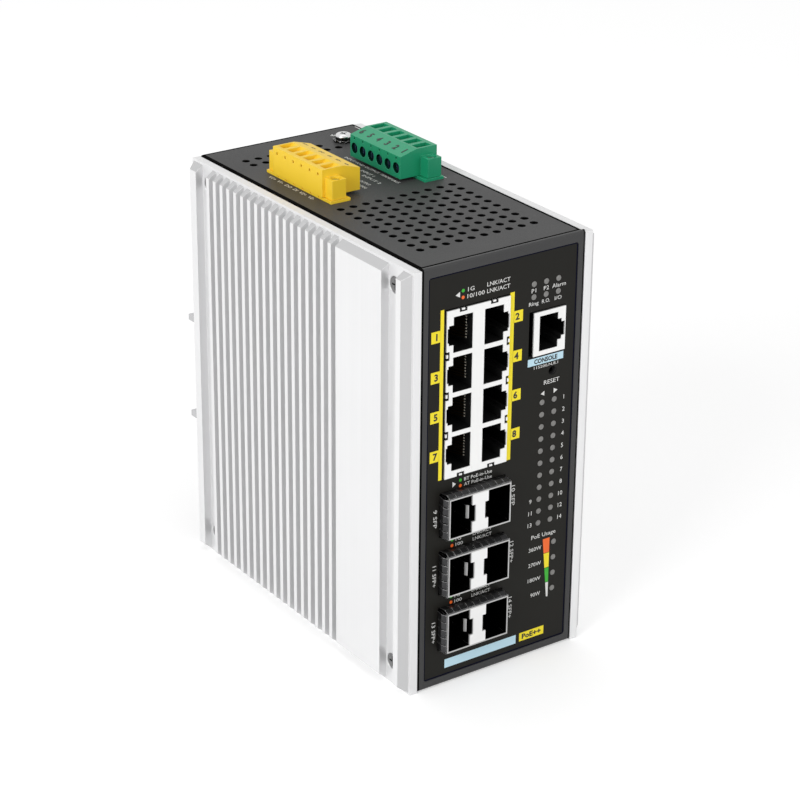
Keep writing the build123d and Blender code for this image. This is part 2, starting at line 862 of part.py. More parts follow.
for terminal, site in (("power", power_site), ("alarm", alarm_site)):
    with BuildPart() as terminal_header:
        header(site)
    terminal_header.part.label = f"{terminal}_header"
    export_step(terminal_header.part, f"parts/{terminal}_header.step")

    with BuildPart() as terminal_pins:
        pins(site)
    terminal_pins.part.label = f"{terminal}_pins"
    export_step(terminal_pins.part, f"parts/{terminal}_pins.step")

    with BuildPart() as terminal_plug:
        plug(site)
    terminal_plug.part.label = f"{terminal}_plug"
    export_step(terminal_plug.part, f"parts/{terminal}_plug.step")

    with BuildPart() as terminal_clamp_screws:
        clamp_screws(site)
    terminal_clamp_screws.part.label = f"{terminal}_clamp_screws"
    export_step(terminal_clamp_screws.part, f"parts/{terminal}_clamp_screws.step")

    with BuildPart() as terminal_flange_screws:
        flange_screws(site)
    terminal_flange_screws.part.label = f"{terminal}_flange_screws"
    export_step(terminal_flange_screws.part, f"parts/{terminal}_flange_screws.step")

# Ground screw with its toothed washer above the cover and a pressed nut below it
with BuildPart() as ground_washer:
    tooth = 360 / washer_teeth
    with BuildSketch(Plane.XY.offset(top_z)):
        with Locations((ground_x, ground_y)):
            Circle(washer_root)
        for n in range(washer_teeth):
            turn = math.radians(n * tooth)
            with Locations((ground_x + washer_root * math.cos(turn), ground_y + washer_root * math.sin(turn))):
                Rectangle(2 * (washer_radius - washer_root), washer_root * 0.35, rotation=n * tooth)
        with Locations((ground_x, ground_y)):
            Circle(ground_radius + seat_gap, mode=Mode.SUBTRACT)
    extrude(amount=washer_sheet)
ground_washer.part.label = "ground_washer"
export_step(ground_washer.part, "parts/ground_washer.step")

with BuildPart() as ground_screw:
    ground_seat = top_z + washer_sheet
    rod_z(ground_x, ground_y, ground_seat - ground_length, ground_seat, ground_radius)
    rod_z(ground_x, ground_y, ground_seat, ground_seat + ground_head_height, ground_head)
    fillet(ground_screw.faces().sort_by(Axis.Z)[-1].edges(), ground_head_height * 0.5)
    with Locations((ground_x, ground_y, ground_seat + ground_head_height)):
        cross_recess(ground_head, ground_head_height * 0.6)
ground_screw.part.label = "ground_screw"
export_step(ground_screw.part, "parts/ground_screw.step")

with BuildPart() as ground_nut:
    with BuildSketch(Plane.XY.offset(top_z - cover_sheet)):
        with Locations((ground_x, ground_y)):
            RegularPolygon(ground_nut_radius, 6)
            Circle(ground_radius, mode=Mode.SUBTRACT)
    extrude(amount=-ground_nut_height)
ground_nut.part.label = "ground_nut"
export_step(ground_nut.part, "parts/ground_nut.step")


# Eight port jack
def port_outline(x, z, outward):
    """Opening of one port on its side: plug window, latch step and latch notch."""
    def at(reach, height):
        return (x + outward * reach, z + height)

    step = port_width + latch_step
    notch = step + latch_notch
    outline([
        at(0, -port_height / 2), at(port_width, -port_height / 2), at(port_width, -latch_height / 2),
        at(step, -latch_height / 2), at(step, -notch_height / 2), at(notch, -notch_height / 2),
        at(notch, notch_height / 2), at(step, notch_height / 2), at(step, latch_height / 2),
        at(port_width, latch_height / 2), at(port_width, port_height / 2), at(0, port_height / 2),
    ])


port_sides = [(jack_x - jack_bar / 2, -1), (jack_x + jack_bar / 2, 1)]
jack_front = front_y - jack_proud
jack_back = jack_front + jack_depth

# Ground tabs of the shell: above and below each column, and at the sides between the ports
tab_x = jack_bar / 2 + port_width / 2
tab_zs = [(upper + lower) / 2 for upper, lower in zip(port_zs, port_zs[1:])]
end_tabs = [(jack_x + side * tab_x, z) for side in (-1, 1) for z in (jack_bottom, jack_top)]
edge_tabs = [(jack_x + side * jack_half, z) for side in (-1, 1) for z in tab_zs]


def tab_slots():
    with Locations(*end_tabs):
        Rectangle(tab_slot_width, 2 * tab_slot_reach)
        Rectangle(tab_width, 2 * tab_reach, mode=Mode.SUBTRACT)
    with Locations(*edge_tabs):
        Rectangle(2 * tab_slot_reach, tab_slot_width)
        Rectangle(2 * tab_reach, tab_width, mode=Mode.SUBTRACT)


with BuildPart() as jack_shell:
    block(jack_x - jack_half, jack_x + jack_half, jack_front, jack_back, jack_bottom, jack_top)
    inner = jack_half - shell_sheet
    block(jack_x - inner, jack_x + inner, jack_front + shell_sheet, jack_back,
          jack_bottom + shell_sheet, jack_top - shell_sheet, Mode.SUBTRACT)
    with BuildSketch(front_plane(jack_front + 2 * shell_sheet)):
        for x, outward in port_sides:
            for z in port_zs:
                port_outline(x, z, outward)
    extrude(amount=4 * shell_sheet, mode=Mode.SUBTRACT)
    with BuildSketch(front_plane(jack_front + tab_slot_depth)) as slots:
        tab_slots()
    extrude(slots.sketch, amount=2 * tab_slot_depth, mode=Mode.SUBTRACT)
jack_shell.part.label = "jack_shell"
export_step(jack_shell.part, "parts/jack_shell.step")

with BuildPart() as jack_insert:
    inner = jack_half - shell_sheet - fit_gap / 2
    insert_front = jack_front + shell_sheet
    block(jack_x - inner, jack_x + inner, insert_front, jack_back,
          jack_bottom + shell_sheet + fit_gap / 2, jack_top - shell_sheet - fit_gap / 2)
    with BuildSketch(front_plane(insert_front + port_depth)):
        for x, outward in port_sides:
            for z in port_zs:
                port_outline(x, z, outward)
    extrude(amount=port_depth + 1, mode=Mode.SUBTRACT)
jack_insert.part.label = "jack_insert"
export_step(jack_insert.part, "parts/jack_insert.step")


def contact_leaf(x, toward, front):
    """Bent spring wire along the wall beside the latch free side, seen from above."""
    def at(rise, depth):
        return (x + toward * rise, front + depth)

    outline([
        at(0, contact_start), at(contact_rise, contact_tip), at(contact_rise, contact_end),
        at(contact_rise - contact_sheet, contact_end), at(contact_rise - contact_sheet, contact_tip),
        at(0, contact_start + 2 * contact_sheet),
    ])


def contacts(x, toward, z, front):
    for n in range(contact_count):
        level = z + (n - (contact_count - 1) / 2) * contact_pitch - contact_width / 2
        with BuildSketch(Plane.XY.offset(level)) as leaf:
            contact_leaf(x, toward, front)
        extrude(leaf.sketch, amount=contact_width)


with BuildPart() as jack_contacts:
    for x, outward in port_sides:
        for z in port_zs:
            contacts(x, outward, z, insert_front)
jack_contacts.part.label = "jack_contacts"
export_step(jack_contacts.part, "parts/jack_contacts.step")

# Console socket, built the same way
console_back = jack_front + console_depth


def console_outline():
    def at(reach, height):
        return (console_port_left + reach, console_z + height)

    step = port_width + console_step
    notch = step + console_notch
    outline([
        at(0, -port_height / 2), at(port_width, -port_height / 2), at(port_width, -console_step_height / 2),
        at(step, -console_step_height / 2), at(step, -notch_height / 2), at(notch, -notch_height / 2),
        at(notch, notch_height / 2), at(step, notch_height / 2), at(step, console_step_height / 2),
        at(port_width, console_step_height / 2), at(port_width, port_height / 2), at(0, port_height / 2),
    ])


with BuildPart() as console_shell:
    block(console_left, console_right, jack_front, console_back, console_bottom, console_top)
    block(console_left + shell_sheet, console_right - shell_sheet, jack_front + shell_sheet, console_back,
          console_bottom + shell_sheet, console_top - shell_sheet, Mode.SUBTRACT)
    with BuildSketch(front_plane(jack_front + 2 * shell_sheet)):
        console_outline()
    extrude(amount=4 * shell_sheet, mode=Mode.SUBTRACT)
console_shell.part.label = "console_shell"
export_step(console_shell.part, "parts/console_shell.step")

with BuildPart() as console_insert:
    inset = shell_sheet + fit_gap / 2
    block(console_left + inset, console_right - inset, insert_front, console_back,
          console_bottom + inset, console_top - inset)
    with BuildSketch(front_plane(insert_front + port_depth)):
        console_outline()
    extrude(amount=port_depth + 1, mode=Mode.SUBTRACT)
console_insert.part.label = "console_insert"
export_step(console_insert.part, "parts/console_insert.step")

with BuildPart() as console_contacts:
    contacts(console_port_left, 1, console_z, insert_front)
console_contacts.part.label = "console_contacts"
export_step(console_contacts.part, "parts/console_contacts.step")

# SFP cages: sheet box with two cells, two partitions with latch leaves, and a pocket between them
septum = cage_sheet
pocket_half = cage_middle / 2 - septum
septum_start = cage_front + spacer_plate
septum_sides = [(cage_x - cage_middle / 2, -1), (cage_x + cage_middle / 2, 1)]


def latch_profile(x, outward):
    """Leaf bent from the partition into the cell, rising forward and curling back at its tip."""
    root = septum_start + window_depth
    crest = septum_start + window_depth / 4
    tip = septum_start + window_depth / 9

    def at(reach, y):
        return (x + outward * reach, y)

    outline([
        at(-latch_sheet, root + 0.5), at(0, root), at(latch_rise, crest), at(latch_rise / 3, tip),
        at(latch_rise / 3 - latch_sheet, tip), at(latch_rise - latch_sheet, crest), at(-latch_sheet, root),
    ])


for row, bottom in enumerate(cage_bottoms, start=1):
    cage_z = bottom + cage_height / 2
    cell_half = cage_height / 2 - cage_sheet
    with BuildPart() as sfp_cage:
        block(cage_x - cage_width / 2, cage_x + cage_width / 2, cage_front, cage_front + cage_depth,
              bottom, bottom + cage_height)
        for side in (-1, 1):
            cell_x = cage_x + side * cell_shift
            block(cell_x - cage_cell / 2, cell_x + cage_cell / 2, cage_front - 1,
                  cage_front + cage_depth - cage_sheet, cage_z - cell_half, cage_z + cell_half,
                  Mode.SUBTRACT)
        block(cage_x - pocket_half, cage_x + pocket_half, cage_front - 1,
              cage_front + cage_depth - cage_sheet, cage_z - cell_half, cage_z + cell_half, Mode.SUBTRACT)
        block(cage_x - cage_middle / 2, cage_x + cage_middle / 2, cage_front - 1, septum_start,
              cage_z - cell_half, cage_z + cell_half, Mode.SUBTRACT)
        block(cage_x - cage_middle / 2, cage_x + cage_middle / 2, cage_front - 1,
              septum_start + window_depth, cage_z - cage_window / 2, cage_z + cage_window / 2, Mode.SUBTRACT)
        with BuildSketch(Plane.XY.offset(cage_z - latch_leaf / 2)):
            for x, outward in septum_sides:
                latch_profile(x, outward)
        extrude(amount=latch_leaf)
    sfp_cage.part.label = f"sfp_cage_{row}"
    export_step(sfp_cage.part, f"parts/sfp_cage_{row}.step")

    with BuildPart() as sfp_spacer:
        with BuildSketch(front_plane(septum_start)):
            with Locations((cage_x, cage_z)):
                Rectangle(cage_middle, 2 * cell_half)
            for side in (-1, 1):
                with Locations((cage_x + side * cage_middle / 2, cage_z)):
                    Rectangle(2 * spacer_notch, cage_window, mode=Mode.SUBTRACT)
        extrude(amount=spacer_plate)
        block(cage_x - spacer_core / 2, cage_x + spacer_core / 2, septum_start,
              septum_start + spacer_depth, cage_z - cell_half, cage_z + cell_half)
    sfp_spacer.part.label = f"sfp_spacer_{row}"
    export_step(sfp_spacer.part, f"parts/sfp_spacer_{row}.step")

    # Spring fingers round the part of the cage that stands proud of the front
    band_front = cage_front + 0.3
    crest_y = front_y - cage_proud / 2
    half_x = cage_width / 2
    half_z = cage_height / 2

    def finger(sense, half):
        """Finger section as distance from the cage axis against depth."""
        return [
            (sense * half, band_front), (sense * (half + collar_bulge), crest_y),
            (sense * (half + collar_foot), front_y + collar_back),
            (sense * (half + collar_foot + collar_sheet), front_y + collar_back),
            (sense * (half + collar_bulge + collar_sheet), crest_y),
            (sense * (half + collar_sheet), band_front),
        ]

    with BuildPart() as sfp_collar:
        block(cage_x - half_x - collar_sheet, cage_x + half_x + collar_sheet, band_front,
              band_front + collar_band, cage_z - half_z - collar_sheet, cage_z + half_z + collar_sheet)
        block(cage_x - half_x, cage_x + half_x, band_front - 1, band_front + collar_band + 1,
              cage_z - half_z, cage_z + half_z, Mode.SUBTRACT)
        long_pitch = cage_width / fingers_long
        short_pitch = cage_height / fingers_short
        for n in range(fingers_long):
            with BuildSketch(side_plane(cage_x - half_x + n * long_pitch + finger_gap / 2)):
                for sense in (-1, 1):
                    outline([(y, cage_z + reach) for reach, y in finger(sense, half_z)])
            extrude(amount=long_pitch - finger_gap)
        for n in range(fingers_short):
            with BuildSketch(Plane.XY.offset(cage_z - half_z + n * short_pitch + finger_gap / 2)):
                for sense in (-1, 1):
                    outline([(cage_x + reach, y) for reach, y in finger(sense, half_x)])
            extrude(amount=short_pitch - finger_gap)
    sfp_collar.part.label = f"sfp_collar_{row}"
    export_step(sfp_collar.part, f"parts/sfp_collar_{row}.step")

with BuildPart() as sfp_connectors:
    for bottom in cage_bottoms:
        cage_z = bottom + cage_height / 2
        back = cage_front + cage_depth - cage_sheet
        for side in (-1, 1):
            cell_x = cage_x + side * cell_shift
            block(cell_x - connector_width / 2, cell_x + connector_width / 2, back - connector_depth, back,
                  cage_z - connector_height / 2, cage_z + connector_height / 2)
            block(cell_x - 0.6, cell_x + 0.6, back - connector_depth - 1, back - connector_depth / 2,
                  cage_z - connector_height * 0.42, cage_z + connector_height * 0.42, Mode.SUBTRACT)
sfp_connectors.part.label = "sfp_connectors"
export_step(sfp_connectors.part, "parts/sfp_connectors.step")

# Light pipes: one moulding for each group of windows, with a bar behind the front panel
pipe_back = led_board_y - led_thick - seat_gap

with BuildPart() as light_pipes:
    for points in window_groups:
        xs = [x for x, z in points]
        zs = [z for x, z in points]
        for x, z in points:
            rod_y(x, overlay_face, pipe_back, z, pipe_radius)
        bar_front = panel_inner + pipe_bar_back
        block(min(xs) - pipe_radius - 0.5, max(xs) + pipe_radius + 0.5, bar_front, bar_front + pipe_bar,
              min(zs) - pipe_radius - 0.5, max(zs) + pipe_radius + 0.5)
light_pipes.part.label = "light_pipes"
export_step(light_pipes.part, "parts/light_pipes.step")

with BuildPart() as indicator_leds:
    for x, z in window_points:
        block(x - led_side / 2, x + led_side / 2, led_board_y - led_thick, led_board_y,
              z - led_side / 2, z + led_side / 2)
indicator_leds.part.label = "indicator_leds"
export_step(indicator_leds.part, "parts/indicator_leds.step")

# Reset switch and its plunger, which travels back into the switch body
switch_front = led_board_y - reset_switch_thick

with BuildPart() as reset_switch:
    half = reset_switch_side / 2
    block(reset_x - half, reset_x + half, switch_front, led_board_y, reset_z - half, reset_z + half)
    hole_depth = reset_foot + reset_travel + reset_rest_gap
    rod_y(reset_x, switch_front - 1, switch_front + hole_depth, reset_z, reset_foot_radius + pipe_gap,
          Mode.SUBTRACT)
reset_switch.part.label = "reset_switch"
export_step(reset_switch.part, "parts/reset_switch.step")

with BuildPart() as reset_plunger:
    rod_y(reset_x, switch_front, switch_front + reset_foot, reset_z, reset_foot_radius)
    rod_y(reset_x, front_y + reset_setback, switch_front, reset_z, reset_stem_radius)
reset_plunger.part.label = "reset_plunger"
export_step(reset_plunger.part, "parts/reset_plunger.step")

# Boards. Standoffs carry the main board from the left panel, the power board from the right
# panel, the indicator board from the front panel and the terminal board from the top cover.
post_back = rear_y - return_depth - standoff_radius - 1
main_rows_y = [front_y + main_board_step - 4, post_back]
main_zs = [base_z + 13, base_z + 67, terminal_board_z - main_board_step_drop + terminal_board_drop - 8]
main_posts = [(y, z) for y in main_rows_y for z in main_zs]
main_top = top_z - main_board_top_drop
main_step_top = top_z - main_board_step_drop
power_low = base_z + power_board_low
power_high = top_z - power_board_drop
power_y0 = front_y + power_board_front
power_y1 = rear_y - power_board_back
power_posts = [(y, z) for y in (power_y0 + 5, post_back) for z in (power_low + 5, power_high - 5)]
led_x0 = left_x + led_board_left
led_x1 = right_x - led_board_right
led_z0 = base_z + led_board_low
led_z1 = top_z - led_board_top
led_posts = [
    (led_x1 - led_standoff_inset - 1, led_z1 - 4), (led_x1 - led_standoff_inset - 1, led_z0 + 3.4),
    (led_x0 + 3.2, led_z0 + 6), (led_x0 + 3.2, console_bottom - 10),
]
terminal_x0 = left_x + terminal_board_side
terminal_x1 = right_x - terminal_board_side
terminal_y0 = front_y + terminal_board_front
terminal_y1 = rear_y - terminal_board_back
post_gap = (across(power_site, plug_width) + across(alarm_site, plug_width)) / 2
terminal_posts = [
    (post_gap + side * 4.5, y) for side in (-1, 1) for y in (terminal_y0 + 4, terminal_y1 - 4)
]

with BuildPart() as main_board:
    with BuildSketch(side_plane(main_board_x)):
        outline([
            (front_y + main_board_front, base_z + main_board_low),
            (rear_y - main_board_back, base_z + main_board_low),
            (rear_y - main_board_back, main_step_top), (front_y + main_board_step, main_step_top),
            (front_y + main_board_step, main_top), (front_y + main_board_front, main_top),
        ])
        with Locations(*main_posts):
            Circle(screw_radius, mode=Mode.SUBTRACT)
    extrude(amount=board_sheet)
main_board.part.label = "main_board"
export_step(main_board.part, "parts/main_board.step")

with BuildPart() as power_board:
    with BuildSketch(side_plane(power_board_x - board_sheet)):
        outline([(power_y0, power_low), (power_y1, power_low), (power_y1, power_high), (power_y0, power_high)])
        with Locations(*power_posts):
            Circle(screw_radius, mode=Mode.SUBTRACT)
    extrude(amount=board_sheet)
power_board.part.label = "power_board"
export_step(power_board.part, "parts/power_board.step")

with BuildPart() as led_board:
    with BuildSketch(front_plane(led_board_y + board_sheet)):
        outline([(led_x0, led_z0), (led_x1, led_z0), (led_x1, led_z1), (led_x0, led_z1)])
        with Locations(*led_posts):
            Circle(screw_radius, mode=Mode.SUBTRACT)
    extrude(amount=board_sheet)
led_board.part.label = "led_board"
export_step(led_board.part, "parts/led_board.step")

with BuildPart() as terminal_board:
    block(terminal_x0, terminal_x1, terminal_y0, terminal_y1, board_low, terminal_board_top)
    for site in (power_site, alarm_site):
        for y in pole_ys(site):
            site_block(site, tongue_axis - pin_side / 2, tongue_axis + pin_side / 2, y - pin_side / 2,
                       y + pin_side / 2, board_low - 1, terminal_board_top + 1, Mode.SUBTRACT)
    for x, y in terminal_posts:
        rod_z(x, y, board_low - 1, terminal_board_top + 1, screw_radius, Mode.SUBTRACT)
terminal_board.part.label = "terminal_board"
export_step(terminal_board.part, "parts/terminal_board.step")

with BuildPart() as board_standoffs:
    for y, z in main_posts:
        rod_x(left_x, main_board_x, y, z, standoff_radius)
    for y, z in power_posts:
        rod_x(power_board_x, right_x, y, z, standoff_radius)
    for x, z in led_posts:
        rod_y(x, panel_inner, led_board_y, z, standoff_radius)
    for x, y in terminal_posts:
        rod_z(x, y, terminal_board_top, top_z - cover_sheet, standoff_radius)
    for y, z in main_posts:
        rod_x(main_board_x - board_screw_length, main_board_x + 1, y, z, screw_radius, Mode.SUBTRACT)
    for y, z in power_posts:
        rod_x(power_board_x - 1, power_board_x + board_screw_length, y, z, screw_radius, Mode.SUBTRACT)
    for x, z in led_posts:
        rod_y(x, led_board_y - board_screw_length, led_board_y + 1, z, screw_radius, Mode.SUBTRACT)
    for x, y in terminal_posts:
        rod_z(x, y, terminal_board_top - 1, terminal_board_top + board_screw_length, screw_radius,
              Mode.SUBTRACT)
board_standoffs.part.label = "board_standoffs"
export_step(board_standoffs.part, "parts/board_standoffs.step")

with BuildPart() as board_screws:
    places = [Plane(origin=(main_board_x + board_sheet, y, z), z_dir=(1, 0, 0)) for y, z in main_posts]
    places += [Plane(origin=(power_board_x - board_sheet, y, z), z_dir=(-1, 0, 0)) for y, z in power_posts]
    places += [Plane(origin=(x, led_board_y + board_sheet, z), z_dir=(0, 1, 0)) for x, z in led_posts]
    places += [Plane(origin=(x, y, board_low), z_dir=(0, 0, -1)) for x, y in terminal_posts]
    for place in places:
        pan_screw(place, board_screw_radius, board_screw_length, board_screw_head, board_screw_head_height)
board_screws.part.label = "board_screws"
export_step(board_screws.part, "parts/board_screws.step")

# Switch chip, its pad and the block that takes its heat to the left panel; PHY chips
chip_back = main_board_x
pad_back = chip_back - chip_thick


def side_square(x0, x1, y, z, side):
    block(x0, x1, y - side / 2, y + side / 2, z - side / 2, z + side / 2)


with BuildPart() as switch_chip:
    side_square(pad_back, chip_back, front_y + chip_y, base_z + chip_z, chip_side)
switch_chip.part.label = "switch_chip"
export_step(switch_chip.part, "parts/switch_chip.step")

with BuildPart() as thermal_pad:
    side_square(pad_back - pad_sheet, pad_back, front_y + chip_y, base_z + chip_z, chip_side)
thermal_pad.part.label = "thermal_pad"
export_step(thermal_pad.part, "parts/thermal_pad.step")

with BuildPart() as heat_block:
    side_square(left_x, pad_back - pad_sheet, front_y + chip_y, base_z + chip_z, heat_block_side)
    fillet(heat_block.edges().filter_by(Axis.X), 1)
heat_block.part.label = "heat_block"
export_step(heat_block.part, "parts/heat_block.step")

with BuildPart() as phy_chips:
    for z in (phy_low, phy_high):
        side_square(chip_back - phy_thick, chip_back, front_y + phy_y - 18, base_z + z, phy_side)
phy_chips.part.label = "phy_chips"
export_step(phy_chips.part, "parts/phy_chips.step")

# Power stage: transformers with a core round a winding, and capacitors
power_face = power_board_x - board_sheet

with BuildPart() as transformers:
    for z in (transformer_low, transformer_high):
        y = front_y + transformer_y
        low_z = base_z + z - transformer_length / 2
        high_z = base_z + z + transformer_length / 2
        y0 = y - transformer_width / 2
        y1 = y + transformer_width / 2
        x0 = power_face - transformer_height
        block(x0, power_face, y0, y1, low_z, high_z)
        block(x0 - 1, power_face - 3, y0 + core_wall, y1 - core_wall, low_z - 1, high_z + 1, Mode.SUBTRACT)
        block(x0 + 1.5, power_face, y0 + core_wall, y1 - core_wall, low_z + 2, high_z - 2)
transformers.part.label = "transformers"
export_step(transformers.part, "parts/transformers.step")

with BuildPart() as capacitors:
    for n in range(capacitor_count):
        z = base_z + capacitor_low + n * capacitor_pitch
        rod_x(power_face - capacitor_height, power_face, front_y + capacitor_y, z, capacitor_radius)
capacitors.part.label = "capacitors"
export_step(capacitors.part, "parts/capacitors.step")

# Board links: terminal board to both upright boards, power board to indicator board
with BuildPart() as board_links:
    y0 = terminal_y1 - link_inset - link_length
    y1 = terminal_y1 - link_inset
    main_mid = main_board_x + board_sheet / 2
    power_mid = power_board_x - board_sheet / 2
    block(main_mid - link_thick / 2, main_mid + link_thick / 2, y0, y1, main_step_top, board_low)
    block(power_mid - link_thick / 2, power_mid + link_thick / 2, y0, y1, power_high, board_low)
    block(power_mid - link_thick / 2, power_mid + link_thick / 2, led_board_y + board_sheet, power_y0,
          base_z + led_link_low, base_z + led_link_high)
board_links.part.label = "board_links"
export_step(board_links.part, "parts/board_links.step")

print("housing", round(housing_width, 2), round(housing_depth, 2), round(housing_height, 2))
print("overall depth", round(overall_depth, 2), "top", round(top_z + plug_top, 2))
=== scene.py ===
import math
import bmesh
import bpy
import numpy as np
from mathutils import Euler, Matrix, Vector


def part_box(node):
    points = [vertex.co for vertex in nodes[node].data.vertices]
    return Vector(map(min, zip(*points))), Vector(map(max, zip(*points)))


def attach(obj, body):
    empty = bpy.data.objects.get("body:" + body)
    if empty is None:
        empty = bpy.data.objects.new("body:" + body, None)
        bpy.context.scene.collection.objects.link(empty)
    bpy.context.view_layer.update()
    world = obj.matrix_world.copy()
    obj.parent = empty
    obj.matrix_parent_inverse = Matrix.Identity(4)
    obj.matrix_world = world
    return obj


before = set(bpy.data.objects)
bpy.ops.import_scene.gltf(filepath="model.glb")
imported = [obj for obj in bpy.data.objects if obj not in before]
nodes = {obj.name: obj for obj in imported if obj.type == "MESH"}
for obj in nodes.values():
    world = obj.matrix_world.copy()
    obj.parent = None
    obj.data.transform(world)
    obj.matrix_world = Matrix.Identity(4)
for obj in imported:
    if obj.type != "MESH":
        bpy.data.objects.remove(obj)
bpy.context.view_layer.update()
mm = 0.001
print("frame loaded:", len(nodes), "nodes")

# the front panel's lower left corner and the faces that print lies on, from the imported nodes
panelLow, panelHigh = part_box("front_panel")
overlayLow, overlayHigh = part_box("front_overlay")
coverLow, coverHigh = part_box("top_cover")
leftX, frontY, baseZ = panelLow[0], panelLow[1], panelLow[2]
printY = overlayLow[1]
topZ = coverHigh[2]


def addNode(tree, kind, inputs=None, **settings):
    # a node with its settings, and with each input linked to a socket or set to a value
    node = tree.nodes.new(kind)
    for key, value in settings.items():
        setattr(node, key, value)
    for key, value in (inputs or {}).items():
        if isinstance(value, bpy.types.NodeSocket):
            tree.links.new(value, node.inputs[key])
        else:
            node.inputs[key].default_value = value
    return node


def mathNode(tree, operation, a, b=None, clamp=False):
    inputs = {0: a} if b is None else {0: a, 1: b}
    return addNode(tree, "ShaderNodeMath", inputs, operation=operation, use_clamp=clamp).outputs[0]


def vectorNode(tree, operation, a, b, output="Vector"):
    return addNode(tree, "ShaderNodeVectorMath", {0: a, 1: b}, operation=operation).outputs[output]


def emptyTree(owner):
    owner.use_nodes = True
    owner.node_tree.nodes.clear()
    return owner.node_tree


def linkNew(name, data):
    obj = bpy.data.objects.new(name, data)
    bpy.context.scene.collection.objects.link(obj)
    return obj


studio = {
    "floorHalf": 12.0,  # metres from the middle to an edge
    "floorColour": (0.80, 0.80, 0.80, 1),
    "floorLift": 0.37,  # light that only sight sees, so the floor goes white and keeps its shadow
    "roomColour": (1, 1, 1, 1),
    "worldLevel": 0.62,  # grey level of the room on the object
    "roomWhite": 1.0,  # what the camera and mirrors see of the room
    "lamps": [
        {"name": "keyLamp", "place": (-1.5, -0.45, 0.8), "size": 0.9, "watts": 13.2},
        {"name": "frontLamp", "place": (0.35, -1.6, 0.75), "size": 0.8, "watts": 4.2},
        {"name": "topLamp", "place": (0.25, 0.55, 1.5), "size": 0.9, "watts": 1.9},
    ],
    "lampAim": (0.0, 0.0, 0.08),
    "cameraPlace": (-0.45467, -0.66216, 0.43249),
    "cameraTurn": (65.904, -0.444, -34.815),  # degrees
    "lens": 112.83,  # millimetres, as the sensor
    "sensor": 36.0,
    "clip": (0.01, 100.0),  # metres
}


def seenBySight(tree):
    # one where a camera, mirror or glass ray looks, nought for soft light
    path = addNode(tree, "ShaderNodeLightPath").outputs
    looked = mathNode(tree, "MAXIMUM", path["Is Camera Ray"], path["Is Glossy Ray"])
    return mathNode(tree, "MAXIMUM", looked, path["Is Transmission Ray"])


def buildStudio(s):
    scene = bpy.context.scene
    camData = bpy.data.cameras.new("camera")
    camData.lens, camData.sensor_width = s["lens"], s["sensor"]
    camData.clip_start, camData.clip_end = s["clip"]
    scene.camera = linkNew("camera", camData)
    scene.camera.location = s["cameraPlace"]
    scene.camera.rotation_euler = Euler([math.radians(a) for a in s["cameraTurn"]], "XYZ")
    for lamp in s["lamps"]:
        light = bpy.data.lights.new(lamp["name"], "AREA")
        light.shape, light.size, light.energy = "SQUARE", lamp["size"], lamp["watts"]
        lampObj = linkNew(lamp["name"], light)
        lampObj.location = lamp["place"]
        aim = np.array(s["lampAim"]) - np.array(lamp["place"])
        yaw = math.atan2(aim[0], -aim[1])
        pitch = math.atan2(math.hypot(aim[0], aim[1]), -aim[2])
        lampObj.rotation_euler = (pitch, 0.0, yaw + math.pi)

    scene.world = bpy.data.worlds.new("room")
    tree = emptyTree(scene.world)
    lit = addNode(tree, "ShaderNodeBackground", {"Color": s["roomColour"], "Strength": s["worldLevel"]})
    seen = addNode(tree, "ShaderNodeBackground", {"Color": s["roomColour"], "Strength": s["roomWhite"]})
    mix = addNode(tree, "ShaderNodeMixShader", {0: seenBySight(tree), 1: lit.outputs[0], 2: seen.outputs[0]})
    addNode(tree, "ShaderNodeOutputWorld", {"Surface": mix.outputs[0]})

    corners = s["floorHalf"] * np.array([[-1, -1, 0], [1, -1, 0], [1, 1, 0], [-1, 1, 0]])
    mesh = bpy.data.meshes.new("floor")
    mesh.from_pydata(corners.tolist(), [], [(0, 1, 2, 3)])
    floor = linkNew("floor", mesh)
    paint = bpy.data.materials.new("floorPaint")
    tree = emptyTree(paint)
    matte = addNode(tree, "ShaderNodeBsdfDiffuse", {"Color": s["floorColour"]})
    level = mathNode(tree, "MULTIPLY", seenBySight(tree), s["floorLift"])
    glow = addNode(tree, "ShaderNodeEmission", {"Strength": level})
    both = addNode(tree, "ShaderNodeAddShader", {0: matte.outputs[0], 1: glow.outputs[0]})
    addNode(tree, "ShaderNodeOutputMaterial", {"Surface": both.outputs[0]})
    mesh.materials.append(paint)


buildStudio(studio)
print("studio built")


# shader node groups shared by the finishes
def startGroup(name, inputs, outputs):
    # inputs with their start values; of the outputs only a Normal is a vector
    group = bpy.data.node_groups.new(name, "ShaderNodeTree")
    for label, value in inputs.items():
        kind = "NodeSocketVector" if isinstance(value, tuple) else "NodeSocketFloat"
        sock = group.interface.new_socket(name=label, in_out="INPUT", socket_type=kind)
        sock.default_value = value
    for label in outputs:
        kind = "NodeSocketVector" if label == "Normal" else "NodeSocketFloat"
        group.interface.new_socket(name=label, in_out="OUTPUT", socket_type=kind)
    return group, addNode(group, "NodeGroupInput").outputs


def endGroup(group, **results):
    addNode(group, "NodeGroupOutput", results)
    return group


def objectPlace(tree):
    return addNode(tree, "ShaderNodeTexCoord").outputs["Object"]


def flatNormal(tree):
    return addNode(tree, "ShaderNodeNewGeometry").outputs["Normal"]


def splitNode(tree, vector):
    return addNode(tree, "ShaderNodeSeparateXYZ", {0: vector}).outputs


# scales and details of the noises in the groups; lineCurve is the power that shapes the tone of drawn lines
noises = {
    "fineDetail": 2.0, "wideDetail": 4.0, "lineScale": 1.0, "lineDetail": 3.0, "lineCurve": 1.6,
    "edgeWearHighlightScale": 300.0, "edgeWearHighlightDetail": 2.0, "dustScale": 60.0, "dustDetail": 6.0,
}


def noiseNode(tree, place, scale, detail):
    inputs = {"Vector": place, "Scale": scale, "Detail": detail}
    return addNode(tree, "ShaderNodeTexNoise", inputs).outputs["Fac"]


